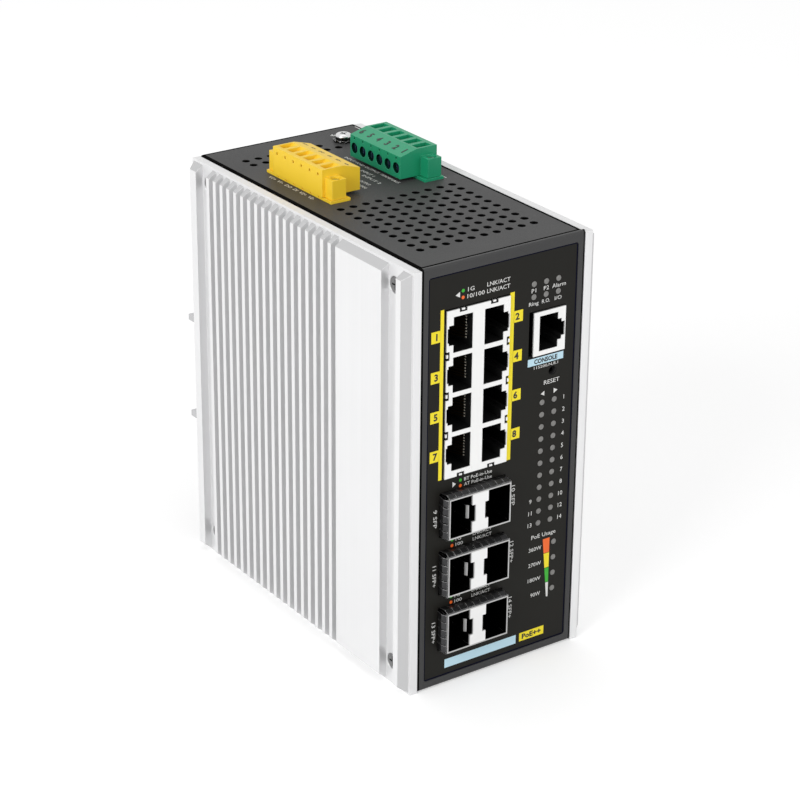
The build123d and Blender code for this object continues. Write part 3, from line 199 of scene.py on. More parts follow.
def makeGrain():
    # fine even grain on the piece's own coordinates: a small noise for height, a wide one for tone
    group, given = startGroup("surfaceGrain", {"Fineness": 1500.0, "Spread": 40.0}, ("Height", "Tone"))
    place = objectPlace(group)
    height = noiseNode(group, place, given["Fineness"], noises["fineDetail"])
    tone = noiseNode(group, place, given["Spread"], noises["wideDetail"])
    return endGroup(group, Height=height, Tone=tone)


def makeStreaks():
    # drawn lines: noise stretched by a different scale along each axis
    group, given = startGroup("drawnStreaks", {"Scale": (400.0, 400.0, 4.0)}, ("Height", "Tone"))
    stretched = vectorNode(group, "MULTIPLY", objectPlace(group), given["Scale"])
    lines = noiseNode(group, stretched, noises["lineScale"], noises["lineDetail"])
    return endGroup(group, Height=lines, Tone=mathNode(group, "POWER", lines, noises["lineCurve"]))


def makeRub():
    # lighter edges, part wear and part painted highlight: where the rounded normal leaves the flat one,
    # broken up by noise
    group, given = startGroup("edgeWearHighlightGroup", {"Radius": 0.0003, "Gain": 4.0}, ("Mask", "Normal"))
    rounded = addNode(group, "ShaderNodeBevel", {"Radius": given["Radius"]}, samples=4).outputs[0]
    same = vectorNode(group, "DOT_PRODUCT", rounded, flatNormal(group), "Value")
    gained = mathNode(group, "MULTIPLY", mathNode(group, "SUBTRACT", 1.0, same), given["Gain"])
    patches = noiseNode(group, objectPlace(group), noises["edgeWearHighlightScale"], noises["edgeWearHighlightDetail"])
    return endGroup(group, Mask=mathNode(group, "MULTIPLY", gained, patches, clamp=True), Normal=rounded)


def makeDust():
    # settled dust: upward faces, thinned by a wide noise
    group, given = startGroup("settledDust", {"Amount": 0.1}, ("Mask",))
    upward = mathNode(group, "MAXIMUM", splitNode(group, flatNormal(group))["Z"], 0.0)
    patches = noiseNode(group, objectPlace(group), noises["dustScale"], noises["dustDetail"])
    patchy = mathNode(group, "MULTIPLY", upward, patches)
    return endGroup(group, Mask=mathNode(group, "MULTIPLY", patchy, given["Amount"], clamp=True))


def makeDepth():
    # how far a point lies along an axis, from nought at Start to one at End
    group, given = startGroup("cavityDepth", {"Axis": (0.0, 1.0, 0.0), "Start": 0.0, "End": 0.01}, ("Mask",))
    along = vectorNode(group, "DOT_PRODUCT", objectPlace(group), given["Axis"], "Value")
    limits = {"Value": along, "From Min": given["Start"], "From Max": given["End"]}
    return endGroup(group, Mask=addNode(group, "ShaderNodeMapRange", limits).outputs["Result"])


# how squarely a face looks along an axis, as a cosine: an end, a flank, a face kept free of painted shade,
# the least lean
facing = {"end": 0.97, "flank": 0.985, "keptBright": 0.9, "lean": 0.3}


def makeSideways():
    # Mask: looks neither sideways nor straight up or down, and gets painted shade. Ends: up or down. Oblique:
    # sloped faces, which get a darker painted shade.
    group = startGroup("paintedFaceShadeMasks", {}, ("Mask", "Ends", "Oblique"))[0]
    looking = splitNode(group, flatNormal(group))
    across = mathNode(group, "ABSOLUTE", looking["X"])
    upright = mathNode(group, "ABSOLUTE", looking["Z"])
    ends = mathNode(group, "GREATER_THAN", upright, facing["end"])
    leaning = mathNode(group, "MAXIMUM", mathNode(group, "MINIMUM", across, facing["flank"]), upright)
    leans = mathNode(group, "GREATER_THAN", leaning, facing["lean"])
    tilted = mathNode(group, "MULTIPLY", leans, mathNode(group, "LESS_THAN", across, facing["flank"]))
    paintedSlopeShade = mathNode(group, "MULTIPLY", tilted, mathNode(group, "SUBTRACT", 1.0, ends))
    keptBright = mathNode(group, "MAXIMUM", mathNode(group, "GREATER_THAN", across, facing["keptBright"]), ends)
    return endGroup(group, Mask=mathNode(group, "SUBTRACT", 1.0, keptBright), Ends=ends, Oblique=paintedSlopeShade)


def makeRim():
    # one where a point is nearer than Width to a side of a box; Skip leaves the sides of an axis out
    nought = (0.0, 0.0, 0.0)
    inputs = {"Low": nought, "High": (1.0, 1.0, 1.0), "Skip": nought, "Width": 0.001}
    group, given = startGroup("boxRim", inputs, ("Mask",))
    place = objectPlace(group)
    gaps = []
    for first, second in ((place, given["Low"]), (given["High"], place)):
        gap = vectorNode(group, "ADD", vectorNode(group, "SUBTRACT", first, second), given["Skip"])
        split = splitNode(group, gap)
        level = mathNode(group, "MINIMUM", split["X"], split["Y"])
        gaps.append(mathNode(group, "MINIMUM", level, split["Z"]))
    nearest = mathNode(group, "MINIMUM", *gaps)
    return endGroup(group, Mask=mathNode(group, "LESS_THAN", nearest, given["Width"]))


def makeBores():
    # round holes in a row: one inside Radius of axes that lie Pitch apart along Y, for X in From to To
    inputs = {"First": 0.0, "Pitch": 0.005, "Level": 0.0, "Radius": 0.002, "From": 0.0, "To": 1.0}
    group, given = startGroup("boreRow", inputs, ("Mask",))
    place = splitNode(group, objectPlace(group))
    along = mathNode(group, "SUBTRACT", place["Y"], given["First"])
    turns = mathNode(group, "DIVIDE", along, given["Pitch"])
    off = mathNode(group, "SUBTRACT", mathNode(group, "FRACT", turns), 0.5)
    sideways = mathNode(group, "MULTIPLY", off, given["Pitch"])
    upward = mathNode(group, "SUBTRACT", place["Z"], given["Level"])
    sides = [mathNode(group, "ABSOLUTE", part) for part in (sideways, upward)]
    squares = [mathNode(group, "POWER", part, 2.0) for part in sides]
    away = mathNode(group, "SQRT", mathNode(group, "ADD", *squares))
    circle = mathNode(group, "LESS_THAN", away, given["Radius"])
    after = mathNode(group, "GREATER_THAN", place["X"], given["From"])
    within = mathNode(group, "MULTIPLY", after, mathNode(group, "LESS_THAN", place["X"], given["To"]))
    return endGroup(group, Mask=mathNode(group, "MULTIPLY", circle, within))


effects = {"grain": makeGrain(), "streaks": makeStreaks(), "edgeWearHighlight": makeRub(), "dust": makeDust(),
           "depth": makeDepth(), "paintedFaceShade": makeSideways(), "rim": makeRim(), "bores": makeBores()}
print("shader groups built:", ", ".join(effects))

plainLook = {  # what a finish has where its own look says nothing else
    "metallic": 0.0, "specular": 0.5, "coat": 0.0, "coatRoughness": 0.25, "roughness": (0.4, 0.5),
    "shade": 0.85, "fineness": 1500.0, "spread": 40.0,  # darker tone, and scales of the grain
    "streakTone": 0.3, "streakDark": 0.62, "streakHeight": 0.5,  # drawn lines: strength, dark tone, height
    "bump": 0.3, "bumpDepth": 0.00004,
    "edgeWearHighlightRadius": 0.0, "edgeWearHighlightGain": 3.0, "edgeWearHighlightLift": 1.3,  # width, strength and tone of the lighter edges, part wear and part painted highlight
    # the axis along which painted shade comes in
    "dust": 0.0, "dustColour": (0.55, 0.54, 0.52), "deepAxis": (0.0, 1.0, 0.0),
}
frontSkin = (0.0001, 0.0004)  # depth behind the front edge over which the painted shade by facing comes in


def placeGroup(tree, key, **values):
    return addNode(tree, "ShaderNodeGroup", values, node_tree=effects[key]).outputs


def mixColour(tree, factor, a, b):
    # a where the factor is nought, b where it is one
    a, b = [(*value, 1.0) if isinstance(value, tuple) else value for value in (a, b)]
    return addNode(tree, "ShaderNodeMix", {"Factor": factor, 6: a, 7: b}, data_type="RGBA").outputs[2]


def hiddenMask(tree, look):
    # painted shade: one in the shaded places of a look, past a depth, along a rim or in a row of bores, save
    # what it keeps
    paintedShade = 0.0
    if "deep" in look:
        start, end = look["deep"]
        paintedShade = placeGroup(tree, "depth", Axis=look["deepAxis"], Start=start, End=end)["Mask"]
    for key in ("rim", "bores"):
        if key in look:
            paintedShade = mathNode(tree, "MAXIMUM", placeGroup(tree, key, **look[key])["Mask"], paintedShade)
    if "keep" in look:
        paintedShade = mathNode(tree, "MULTIPLY", paintedShade, placeGroup(tree, "rim", **look["keep"])["Mask"])
    return paintedShade


def makeFinish(name, ownLook):
    # Principled surface: base colour varied by grain, streaks, painted shade, lighter edges (part wear, part
    # painted highlight) and dust, and bump
    look = {**plainLook, **ownLook}
    base, metallic, specular = look["colour"], look["metallic"], look["specular"]
    mat = bpy.data.materials.new(name)
    tree = emptyTree(mat)
    grain = placeGroup(tree, "grain", Fineness=look["fineness"], Spread=look["spread"])
    colour = mixColour(tree, grain["Tone"], base, tuple(c * look["shade"] for c in base))
    height = grain["Height"]
    if "streaks" in look:
        streaks = placeGroup(tree, "streaks", Scale=look["streaks"])
        part = mathNode(tree, "MULTIPLY", streaks["Tone"], look["streakTone"])
        colour = mixColour(tree, part, colour, tuple(c * look["streakDark"] for c in base))
        lines = mathNode(tree, "MULTIPLY", streaks["Height"], look["streakHeight"])
        height = mathNode(tree, "ADD", height, lines)
    # painted shade: dark colour and no reflection in the shaded places
    if "deepColour" in look:
        paintedShade = hiddenMask(tree, look)
        colour = mixColour(tree, paintedShade, colour, look["deepColour"])
        specular = mathNode(tree, "MULTIPLY", mathNode(tree, "SUBTRACT", 1.0, paintedShade), specular)
    # painted shade by facing: darker colour on faces that look neither sideways nor up or down, darker still
    # on sloped faces
    if "paintedFaceShade" in look:
        cut = placeGroup(tree, "paintedFaceShade")
        start, end = [frontY + depth for depth in frontSkin]
        behind = placeGroup(tree, "depth", Start=start, End=end)["Mask"]
        for label, key in (("Mask", "paintedFaceShade"), ("Oblique", "paintedSlopeShade")):
            part = mathNode(tree, "MULTIPLY", cut[label], behind)
            colour = mixColour(tree, part, colour, look[key])
        metallic = mathNode(tree, "MULTIPLY", mathNode(tree, "SUBTRACT", 1.0, cut["Ends"]), metallic)
    bump = {"Strength": look["bump"], "Distance": look["bumpDepth"], "Height": height}
    # lighter edges, part wear and part painted highlight, on the rounded normal
    if look["edgeWearHighlightRadius"] > 0:
        edgeWearHighlight = placeGroup(tree, "edgeWearHighlight", Radius=look["edgeWearHighlightRadius"], Gain=look["edgeWearHighlightGain"])
        edgeWearHighlightColour = look.get("edgeWearHighlightColour", tuple(min(1.0, c * look["edgeWearHighlightLift"]) for c in base))
        colour = mixColour(tree, edgeWearHighlight["Mask"], colour, edgeWearHighlightColour)
        bump["Normal"] = edgeWearHighlight["Normal"]
    if look["dust"] > 0:
        dust = placeGroup(tree, "dust", Amount=look["dust"])
        colour = mixColour(tree, dust["Mask"], colour, look["dustColour"])
    low, high = look["roughness"]
    rough = addNode(tree, "ShaderNodeMapRange", {"Value": grain["Tone"], "To Min": low, "To Max": high})
    bent = addNode(tree, "ShaderNodeBump", bump)
    bsdf = addNode(tree, "ShaderNodeBsdfPrincipled", {
        "Base Color": colour, "Metallic": metallic, "Specular IOR Level": specular,
        "Roughness": rough.outputs["Result"], "Normal": bent.outputs["Normal"],
        "Coat Weight": look["coat"], "Coat Roughness": look["coatRoughness"]})
    addNode(tree, "ShaderNodeOutputMaterial", {"Surface": bsdf.outputs[0]})
    return mat


def below(face, start, end):
    # a range of depths behind a face, from millimetres
    return face + start * mm, face + end * mm


cageRows = ("1", "2", "3")
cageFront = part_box("sfp_cage_1")[0][1]
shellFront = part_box("jack_shell")[0][1]
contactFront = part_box("jack_contacts")[0][1]
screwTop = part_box("ground_screw")[1][2]
alarmLow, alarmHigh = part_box("alarm_plug")
powerLow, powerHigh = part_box("power_plug")

# wire holes of the plugs: a hole lies half a pitch after each step from First
poles, polePitch = 6, 0.00508
halfRow = poles / 2 * polePitch
boreLevel, boreSkin, boreDepth = 0.0046, 0.00012, 0.0055  # from the top cover, and from the plug's face
# inside these holes the plugs' colour is painted shade
bores = {"Pitch": polePitch, "Level": topZ + boreLevel, "Radius": 0.00194}
powerBores = {**bores, "First": (powerLow[1] + powerHigh[1]) / 2 - halfRow,
              "From": powerHigh[0] - boreDepth, "To": powerHigh[0] - boreSkin}
alarmBores = {**bores, "First": (alarmLow[1] + alarmHigh[1]) / 2 - halfRow,
              "From": alarmLow[0] + boreSkin, "To": alarmLow[0] + boreDepth}

# rims where the colour is painted shade: the front panel's left and right edges, the overlay's edges
panelRim = {"Low": tuple(panelLow), "High": tuple(panelHigh), "Skip": (0.0, 1.0, 1.0), "Width": 0.0008}
overlayRim = {"Low": tuple(overlayLow), "High": tuple(overlayHigh), "Skip": (0.0, 1.0, 0.0),
              "Width": 0.0004}
leftNarrower, frontNarrower = 0.0006, 0.001  # the cover's rim of painted shade is narrower at the left and the front
coverRim = {"Low": (coverLow[0] - leftNarrower, coverLow[1] - frontNarrower, coverLow[2]),
            "High": tuple(coverHigh), "Skip": (0.0, 0.0, 1.0), "Width": 0.0016}
latch = {  # sides from the middle of a cage, depths from its front
    "left": 0.00415, "right": 0.0031, "front": 0.0008, "back": 0.0033, "half": 0.0025,
}


def latchBox(row):
    # the latch of a cage is left out of the painted shade: a box with no rim, so the mask is one outside it
    low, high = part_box("sfp_cage_" + row)
    x, z = (low[0] + high[0]) / 2, (low[2] + high[2]) / 2
    return {"Low": (x - latch["left"], cageFront + latch["front"], z - latch["half"]),
            "High": (x - latch["right"], cageFront + latch["back"], z + latch["half"]), "Width": 0.0}


blackPaint = {"roughness": (0.44, 0.58), "fineness": 2600.0, "bump": 0.75, "bumpDepth": 0.00009, "shade": 0.8,
              "spread": 25.0}
# lighter edges, part wear and part painted highlight
powderBlack = {**blackPaint, "colour": (0.038, 0.038, 0.039), "edgeWearHighlightRadius": 0.0003, "edgeWearHighlightGain": 1.2,
               "edgeWearHighlightColour": (0.11, 0.11, 0.11), "dust": 0.02, "specular": 0.4}
# painted shade inside the cage, behind its front
cageNickel = {"colour": (0.6, 0.6, 0.595), "metallic": 0.9, "roughness": (0.28, 0.4),
              "streaks": (40.0, 500.0, 500.0), "streakTone": 0.2, "edgeWearHighlightRadius": 0.00012,
              "deep": below(cageFront, 0.05, 0.4), "deepColour": (0.005, 0.005, 0.005)}
looks = {
    # painted shade on faces that look to the front or back, darker painted shade on sloped faces; lighter
    # edges, part wear and part painted highlight
    "satinAluminium": {"colour": (0.86, 0.86, 0.865), "paintedFaceShade": (0.72, 0.72, 0.725),
                       "paintedSlopeShade": (0.55, 0.55, 0.555), "metallic": 0.55, "roughness": (0.36, 0.46),
                       "streaks": (700.0, 700.0, 6.0), "streakTone": 0.14, "fineness": 3500.0, "bump": 0.22,
                       "bumpDepth": 0.00003, "edgeWearHighlightRadius": 0.00025, "edgeWearHighlightColour": (0.97, 0.97, 0.97),
                       "shade": 0.95},
    "milledAluminium": {"colour": (0.72, 0.72, 0.73), "metallic": 0.9, "roughness": (0.3, 0.42),
                        "streaks": (60.0, 900.0, 60.0), "streakTone": 0.4, "edgeWearHighlightRadius": 0.0002},
    "powderBlack": powderBlack,
    # painted shade along the front panel's left and right edges
    "frameBlack": {**powderBlack, "deepColour": (0.004, 0.004, 0.004), "rim": panelRim},
    # painted shade, with no reflection, on the cover's edges and on all below its top face
    "coverBlack": {**blackPaint, "colour": (0.062, 0.062, 0.0625), "dust": 0.02, "specular": 0.16,
                   "rim": coverRim, "deep": below(-topZ, 0.04, 0.3), "deepAxis": (0.0, 0.0, -1.0),
                   "deepColour": (0.0015, 0.0015, 0.0015)},
    # painted shade, with no reflection, on all above the bottom face
    "lowCoverBlack": {**blackPaint, "colour": (0.05, 0.05, 0.051), "specular": 0.16,
                      "deep": below(baseZ, 0.04, 0.3), "deepAxis": (0.0, 0.0, 1.0),
                      "deepColour": (0.0015, 0.0015, 0.0015)},
    # painted shadow, dark blue, along the overlay's edges
    "overlayFilm": {"colour": (0.014, 0.0134, 0.0112), "roughness": (0.42, 0.5), "fineness": 5200.0,
                    "bump": 0.25, "bumpDepth": 0.00002, "shade": 0.9, "specular": 0.12,
                    "deepColour": (0.004, 0.005, 0.02), "rim": overlayRim},
    # painted shade on the sides of the screw head below its top; lighter edges, part wear and part painted
    # highlight
    "groundSteel": {"colour": (0.75, 0.75, 0.75), "metallic": 1.0, "roughness": (0.16, 0.26),
                    "edgeWearHighlightRadius": 0.00012, "deep": below(-screwTop, 0.7, 1.3), "deepAxis": (0.0, 0.0, -1.0),
                    "deepColour": (0.05, 0.05, 0.05)},
    # painted highlight: near-white edges on the dark washer
    "darkWasher": {"colour": (0.07, 0.07, 0.07), "metallic": 1.0, "roughness": (0.16, 0.26),
                   "edgeWearHighlightRadius": 0.0002, "edgeWearHighlightColour": (0.9, 0.9, 0.9), "edgeWearHighlightGain": 6.0},
    "sideScrew": {"colour": (0.34, 0.34, 0.34), "metallic": 1.0, "roughness": (0.18, 0.3),
                  "edgeWearHighlightRadius": 0.00015},
    "nickelScrew": {"colour": (0.66, 0.66, 0.655), "metallic": 1.0, "roughness": (0.22, 0.38),
                    "fineness": 2500.0, "edgeWearHighlightRadius": 0.00012, "shade": 0.75},
    "bracketSatin": {"colour": (0.62, 0.62, 0.63), "metallic": 0.95, "roughness": (0.32, 0.45),
                     "streaks": (6.0, 700.0, 700.0), "streakTone": 0.25, "edgeWearHighlightRadius": 0.0003},
    "springSteel": {"colour": (0.42, 0.43, 0.45), "metallic": 1.0, "roughness": (0.25, 0.4),
                    "streaks": (900.0, 20.0, 20.0), "streakTone": 0.4},
    # painted shade inside the wire holes; lighter edges, part wear and part painted highlight
    "yellowMoulded": {"colour": (1.0, 0.67, 0.032), "roughness": (0.38, 0.5), "fineness": 2400.0,
                      "bump": 0.25, "shade": 0.9, "edgeWearHighlightRadius": 0.00022, "edgeWearHighlightColour": (1.0, 0.8, 0.2),
                      "edgeWearHighlightGain": 4.0, "specular": 0.35, "deepColour": (0.12, 0.05, 0.003),
                      "bores": powerBores},
    # painted shade inside the wire holes; lighter edges, part wear and part painted highlight
    "greenMoulded": {"colour": (0.012, 0.34, 0.165), "roughness": (0.34, 0.46), "fineness": 2400.0,
                     "bump": 0.25, "shade": 0.82, "edgeWearHighlightRadius": 0.00022, "edgeWearHighlightColour": (0.12, 0.62, 0.38),
                     "edgeWearHighlightGain": 4.0, "specular": 0.4, "deepColour": (0.001, 0.03, 0.016),
                     "bores": alarmBores},
    "bluedScrew": {"colour": (0.15, 0.24, 0.42), "metallic": 1.0, "roughness": (0.22, 0.36),
                   "edgeWearHighlightRadius": 0.0001},
    "tinnedPin": {"colour": (0.74, 0.73, 0.7), "metallic": 1.0, "roughness": (0.25, 0.38),
                  "streaks": (600.0, 600.0, 30.0)},
    # painted shade on the shell behind its front face
    "brightShell": {"colour": (0.95, 0.95, 0.94), "metallic": 0.55, "roughness": (0.24, 0.34),
                    "fineness": 1800.0, "bump": 0.12, "shade": 0.93, "streaks": (500.0, 20.0, 20.0),
                    "streakTone": 0.08, "edgeWearHighlightRadius": 0.00012, "deep": below(shellFront, 0.3, 0.7),
                    "deepColour": (0.004, 0.004, 0.004)},
    "blackMoulded": {"colour": (0.008, 0.008, 0.008), "roughness": (0.5, 0.62), "fineness": 2600.0,
                     "bump": 0.2, "specular": 0.12},
    # painted shade on the contacts deeper inside the jack
    "goldContact": {"colour": (0.98, 0.92, 0.78), "metallic": 0.5, "roughness": (0.22, 0.34),
                    "deep": below(contactFront, 0.2, 0.6), "deepColour": (0.02, 0.012, 0.004)},
    # light edges on the dark fingers, part wear and part painted highlight
    "collarSpring": {"colour": (0.07, 0.07, 0.072), "metallic": 0.9, "roughness": (0.3, 0.44),
                     "fineness": 1600.0, "shade": 0.6, "spread": 260.0, "edgeWearHighlightRadius": 0.00025,
                     "edgeWearHighlightColour": (0.8, 0.8, 0.8), "edgeWearHighlightGain": 5.0},
    # painted shade on the spacer behind the cage front
    "spacerNickel": {"colour": (0.93, 0.93, 0.925), "metallic": 0.5, "roughness": (0.3, 0.4), "shade": 0.93,
                     "bump": 0.1, "deep": below(cageFront, 0.3, 0.8), "deepColour": (0.004, 0.004, 0.004)},
    "buttonBlack": {"colour": (0.03, 0.03, 0.03)},
    "frostedPipe": {"colour": (0.225, 0.22, 0.21), "roughness": (0.3, 0.45), "fineness": 4200.0,
                    "shade": 0.7, "spread": 900.0, "coat": 0.3},
    "ledResin": {"colour": (0.7, 0.7, 0.62), "roughness": (0.3, 0.4)},
    "solderResist": {"colour": (0.012, 0.10, 0.045), "roughness": (0.3, 0.42), "coat": 0.3,
                     "streaks": (30.0, 420.0, 420.0), "streakTone": 0.5, "fineness": 900.0},
    "brassPost": {"colour": (0.62, 0.5, 0.26), "metallic": 1.0, "roughness": (0.25, 0.4)},
    "chipResin": {"colour": (0.03, 0.03, 0.032), "roughness": (0.5, 0.65), "fineness": 3000.0, "bump": 0.4},
    "padRubber": {"colour": (0.32, 0.38, 0.5), "roughness": (0.6, 0.75), "fineness": 1200.0, "bump": 0.4},
    "ferriteTape": {"colour": (0.06, 0.058, 0.055), "roughness": (0.5, 0.65), "bump": 0.5},
    "canSleeve": {"colour": (0.05, 0.055, 0.09), "roughness": (0.3, 0.4), "coat": 0.4},
    "linkBlack": {"colour": (0.02, 0.02, 0.02), "roughness": (0.45, 0.55)},
}
wearers = {  # the nodes that wear each finish
    "satinAluminium": ["left_side_panel", "right_side_panel"],
    "milledAluminium": ["heat_block"],
    "powderBlack": ["rear_panel"],
    "frameBlack": ["front_panel"],
    "coverBlack": ["top_cover"],
    "lowCoverBlack": ["bottom_cover"],
    "overlayFilm": ["front_overlay"],
    "groundSteel": ["ground_screw"],
    "darkWasher": ["ground_washer"],
    "sideScrew": ["side_screws"],
    "nickelScrew": ["rear_screws", "din_screws", "board_screws", "ground_nut", "power_flange_screws",
                    "alarm_flange_screws"],
    "bracketSatin": ["din_bracket"],
    "springSteel": ["din_spring"],
    "yellowMoulded": ["power_plug", "power_header"],
    "greenMoulded": ["alarm_plug", "alarm_header"],
    "bluedScrew": ["power_clamp_screws", "alarm_clamp_screws"],
    "tinnedPin": ["power_pins", "alarm_pins"],
    "brightShell": ["jack_shell", "console_shell"],
    "blackMoulded": ["jack_insert", "console_insert", "sfp_connectors", "reset_switch"],
    "goldContact": ["jack_contacts", "console_contacts"],
    "collarSpring": ["sfp_collar_" + row for row in cageRows],
    "spacerNickel": ["sfp_spacer_" + row for row in cageRows],
    "buttonBlack": ["reset_plunger"],
    "frostedPipe": ["light_pipes"],
    "ledResin": ["indicator_leds"],
    "solderResist": ["main_board", "power_board", "terminal_board", "led_board"],
    "brassPost": ["board_standoffs"],
    "chipResin": ["switch_chip", "phy_chips"],
    "padRubber": ["thermal_pad"],
    "ferriteTape": ["transformers"],
    "canSleeve": ["capacitors"],
    "linkBlack": ["board_links"],
}
for row in cageRows:
    looks["cageNickel" + row] = {**cageNickel, "keep": latchBox(row)}
    wearers["cageNickel" + row] = ["sfp_cage_" + row]
finishes = {name: makeFinish(name, look) for name, look in looks.items()}
for finish, names in wearers.items():
    for name in names:
        for slot in nodes[name].material_slots:
            slot.material = finishes[finish]
print("finishes set on", sum(len(names) for names in wearers.values()), "nodes of", len(nodes))


# printed marks: thin closed solids from outlines, discs and letters
ink = {"roughness": (0.45, 0.55), "fineness": 4000.0, "bump": 0.15}
brightInk = {**ink, "roughness": (0.4, 0.5), "shade": 0.96}
inks = {
    "whiteInk": {**ink, "colour": (0.86, 0.86, 0.84)},
    "yellowInk": {**brightInk, "colour": (1.0, 0.82, 0.012)},
    "blueInk": {**brightInk, "colour": (0.58, 0.83, 0.95)},
    "blackInk": {**ink, "colour": (0.008, 0.008, 0.009)},
    "greyInk": {**ink, "colour": (0.14, 0.12, 0.085)},
    "orangeInk": {**brightInk, "colour": (0.98, 0.15, 0.012)},
    "greenInk": {**brightInk, "colour": (0.03, 0.45, 0.02)},
}
inkFinishes = {name: makeFinish(name, look) for name, look in inks.items()}
printThick = 0.03 * mm
printSink = 0.02 * mm
mergeDistance = 1e-6  # points that lie nearer become one
font = {"capHeight": 0.69, "extrude": 0.1, "curveSteps": 2}  # shares of the font's size, and points per curve

# planes that print lies on: origin, reading direction, up direction, outward direction
frontPlane = [np.array(v) for v in ((leftX, printY, baseZ), (1.0, 0, 0), (0, 0, 1.0), (0, -1.0, 0))]
topPlane = [np.array(v) for v in ((leftX, frontY, topZ), (0, -1.0, 0), (1.0, 0, 0), (0, 0, 1.0))]


def onPlane(plane, flat, out):
    # point = origin + u * reading + v * up + w * outward, for whole arrays, u and v in millimetres
    origin, reading, up, outward = plane
    flat = np.asarray(flat, float)
    return origin + mm * (flat[:, :1] * reading + flat[:, 1:2] * up) + np.asarray(out)[:, None] * outward


def flatMark(plane, outline):
    # thin prism of an outline: lower ring sunk into the surface, upper ring proud of it
    n = len(outline)
    rings = [onPlane(plane, outline, np.full(n, out)) for out in (-printSink, printThick)]
    ring = np.arange(n)
    after = (ring + 1) % n
    faces = [tuple(ring[::-1]), tuple(ring + n)]
    faces += [tuple(f) for f in np.stack([ring, after, after + n, ring + n], 1)]
    return np.concatenate(rings), faces


def rectangle(x0, x1, z0, z1):
    return [(x0, z0), (x1, z0), (x1, z1), (x0, z1)]


def disc(x, z, radius, count=28):
    # point = centre + radius * (cos a, sin a)
    turn = np.linspace(0, 2 * np.pi, count, endpoint=False)
    return np.stack([x + radius * np.cos(turn), z + radius * np.sin(turn)], 1)


def letters(plane, text, x, z, height, width=None, turn=0.0, thick=printThick, weight=0.0):
    # text as a closed solid: scaled to a cap height and a width, centred, turned, then put on a plane
    curve = bpy.data.curves.new("lettering", "FONT")
    curve.body, curve.size, curve.extrude, curve.offset = text, 1.0, font["extrude"], weight
    curve.resolution_u = font["curveSteps"]
    obj = linkNew("lettering", curve)
    mesh = bpy.data.meshes.new_from_object(obj.evaluated_get(bpy.context.evaluated_depsgraph_get()))
    flat = np.empty(len(mesh.vertices) * 3)
    mesh.vertices.foreach_get("co", flat)
    flat = flat.reshape(-1, 3)
    faces = [tuple(p.vertices) for p in mesh.polygons]
    bpy.data.objects.remove(obj)
    bpy.data.curves.remove(curve)
    bpy.data.meshes.remove(mesh)
    left, right = flat[:, 0].min(), flat[:, 0].max()
    rise = height / font["capHeight"]
    across = rise if width is None else width / (right - left)
    u = (flat[:, 0] - (left + right) / 2) * across
    v = (flat[:, 1] - font["capHeight"] / 2) * rise
    c, s = math.cos(math.radians(turn)), math.sin(math.radians(turn))
    placed = np.stack([x + c * u - s * v, z + s * u + c * v], 1)
    return onPlane(plane, placed, np.where(flat[:, 2] > 0, thick, -printSink)), faces


def joinPieces(name, parts, material):
    # one mesh from many (points, faces) parts, with doubles merged and normals turned out
    points = np.concatenate([p for p, f in parts])
    starts = np.cumsum([0] + [len(p) for p, f in parts[:-1]])
    faces = [tuple(int(i) + int(s) for i in f) for s, (p, fs) in zip(starts, parts) for f in fs]
    mesh = bpy.data.meshes.new(name)
    mesh.from_pydata(points.tolist(), [], faces)
    work = bmesh.new()
    work.from_mesh(mesh)
    bmesh.ops.remove_doubles(work, verts=work.verts, dist=mergeDistance)
    bmesh.ops.recalc_face_normals(work, faces=work.faces)
    work.to_mesh(mesh)
    work.free()
    obj = linkNew(name, mesh)
    mesh.materials.append(material)
    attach(obj, "housing")


yellowParts, blackParts, whiteParts, greyParts = [], [], [], []
blueParts, greenParts, orangeParts = [], [], []
boldWeight = 0.036  # how far the black letters are fattened, in letter heights
onLabel = {"thick": 2 * printThick, "weight": boldWeight}  # black letters lie on coloured print
jackPrint = {
    "barLeft": (7.6, 8.95), "barRight": (35.1, 36.8), "barHeight": (76.5, 136.0),
    "tabLeft": (4.1, 7.65), "tabRight": (36.7, 40.4), "tabHeight": 4.0, "firstTab": 127.2, "pitch": 13.9,
    "digitLeft": 6.2, "digitRight": 38.2, "digitHeight": 2.25, "rows": 4,
}
for side in ("barLeft", "barRight"):
    yellowParts.append(flatMark(frontPlane, rectangle(*jackPrint[side], *jackPrint["barHeight"])))
for row in range(jackPrint["rows"]):
    z = jackPrint["firstTab"] - row * jackPrint["pitch"]
    half = jackPrint["tabHeight"] / 2
    for n, side in enumerate(("Left", "Right")):
        yellowParts.append(flatMark(frontPlane, rectangle(*jackPrint["tab" + side], z - half, z + half)))
        digit, x = str(2 * row + n + 1), jackPrint["digit" + side]
        blackParts.append(letters(frontPlane, digit, x, z, jackPrint["digitHeight"], **onLabel))

labels = {
    "modelBlank": (11.4, 41.4, 5.5, 8.8),  # left bare
    "powerTag": (42.9, 53.4, 5.7, 8.9),
    "consoleTag": (43.0, 57.7, 108.0, 110.6),
}
blueParts += [flatMark(frontPlane, rectangle(*labels[key])) for key in ("modelBlank", "consoleTag")]
yellowParts.append(flatMark(frontPlane, rectangle(*labels["powerTag"])))
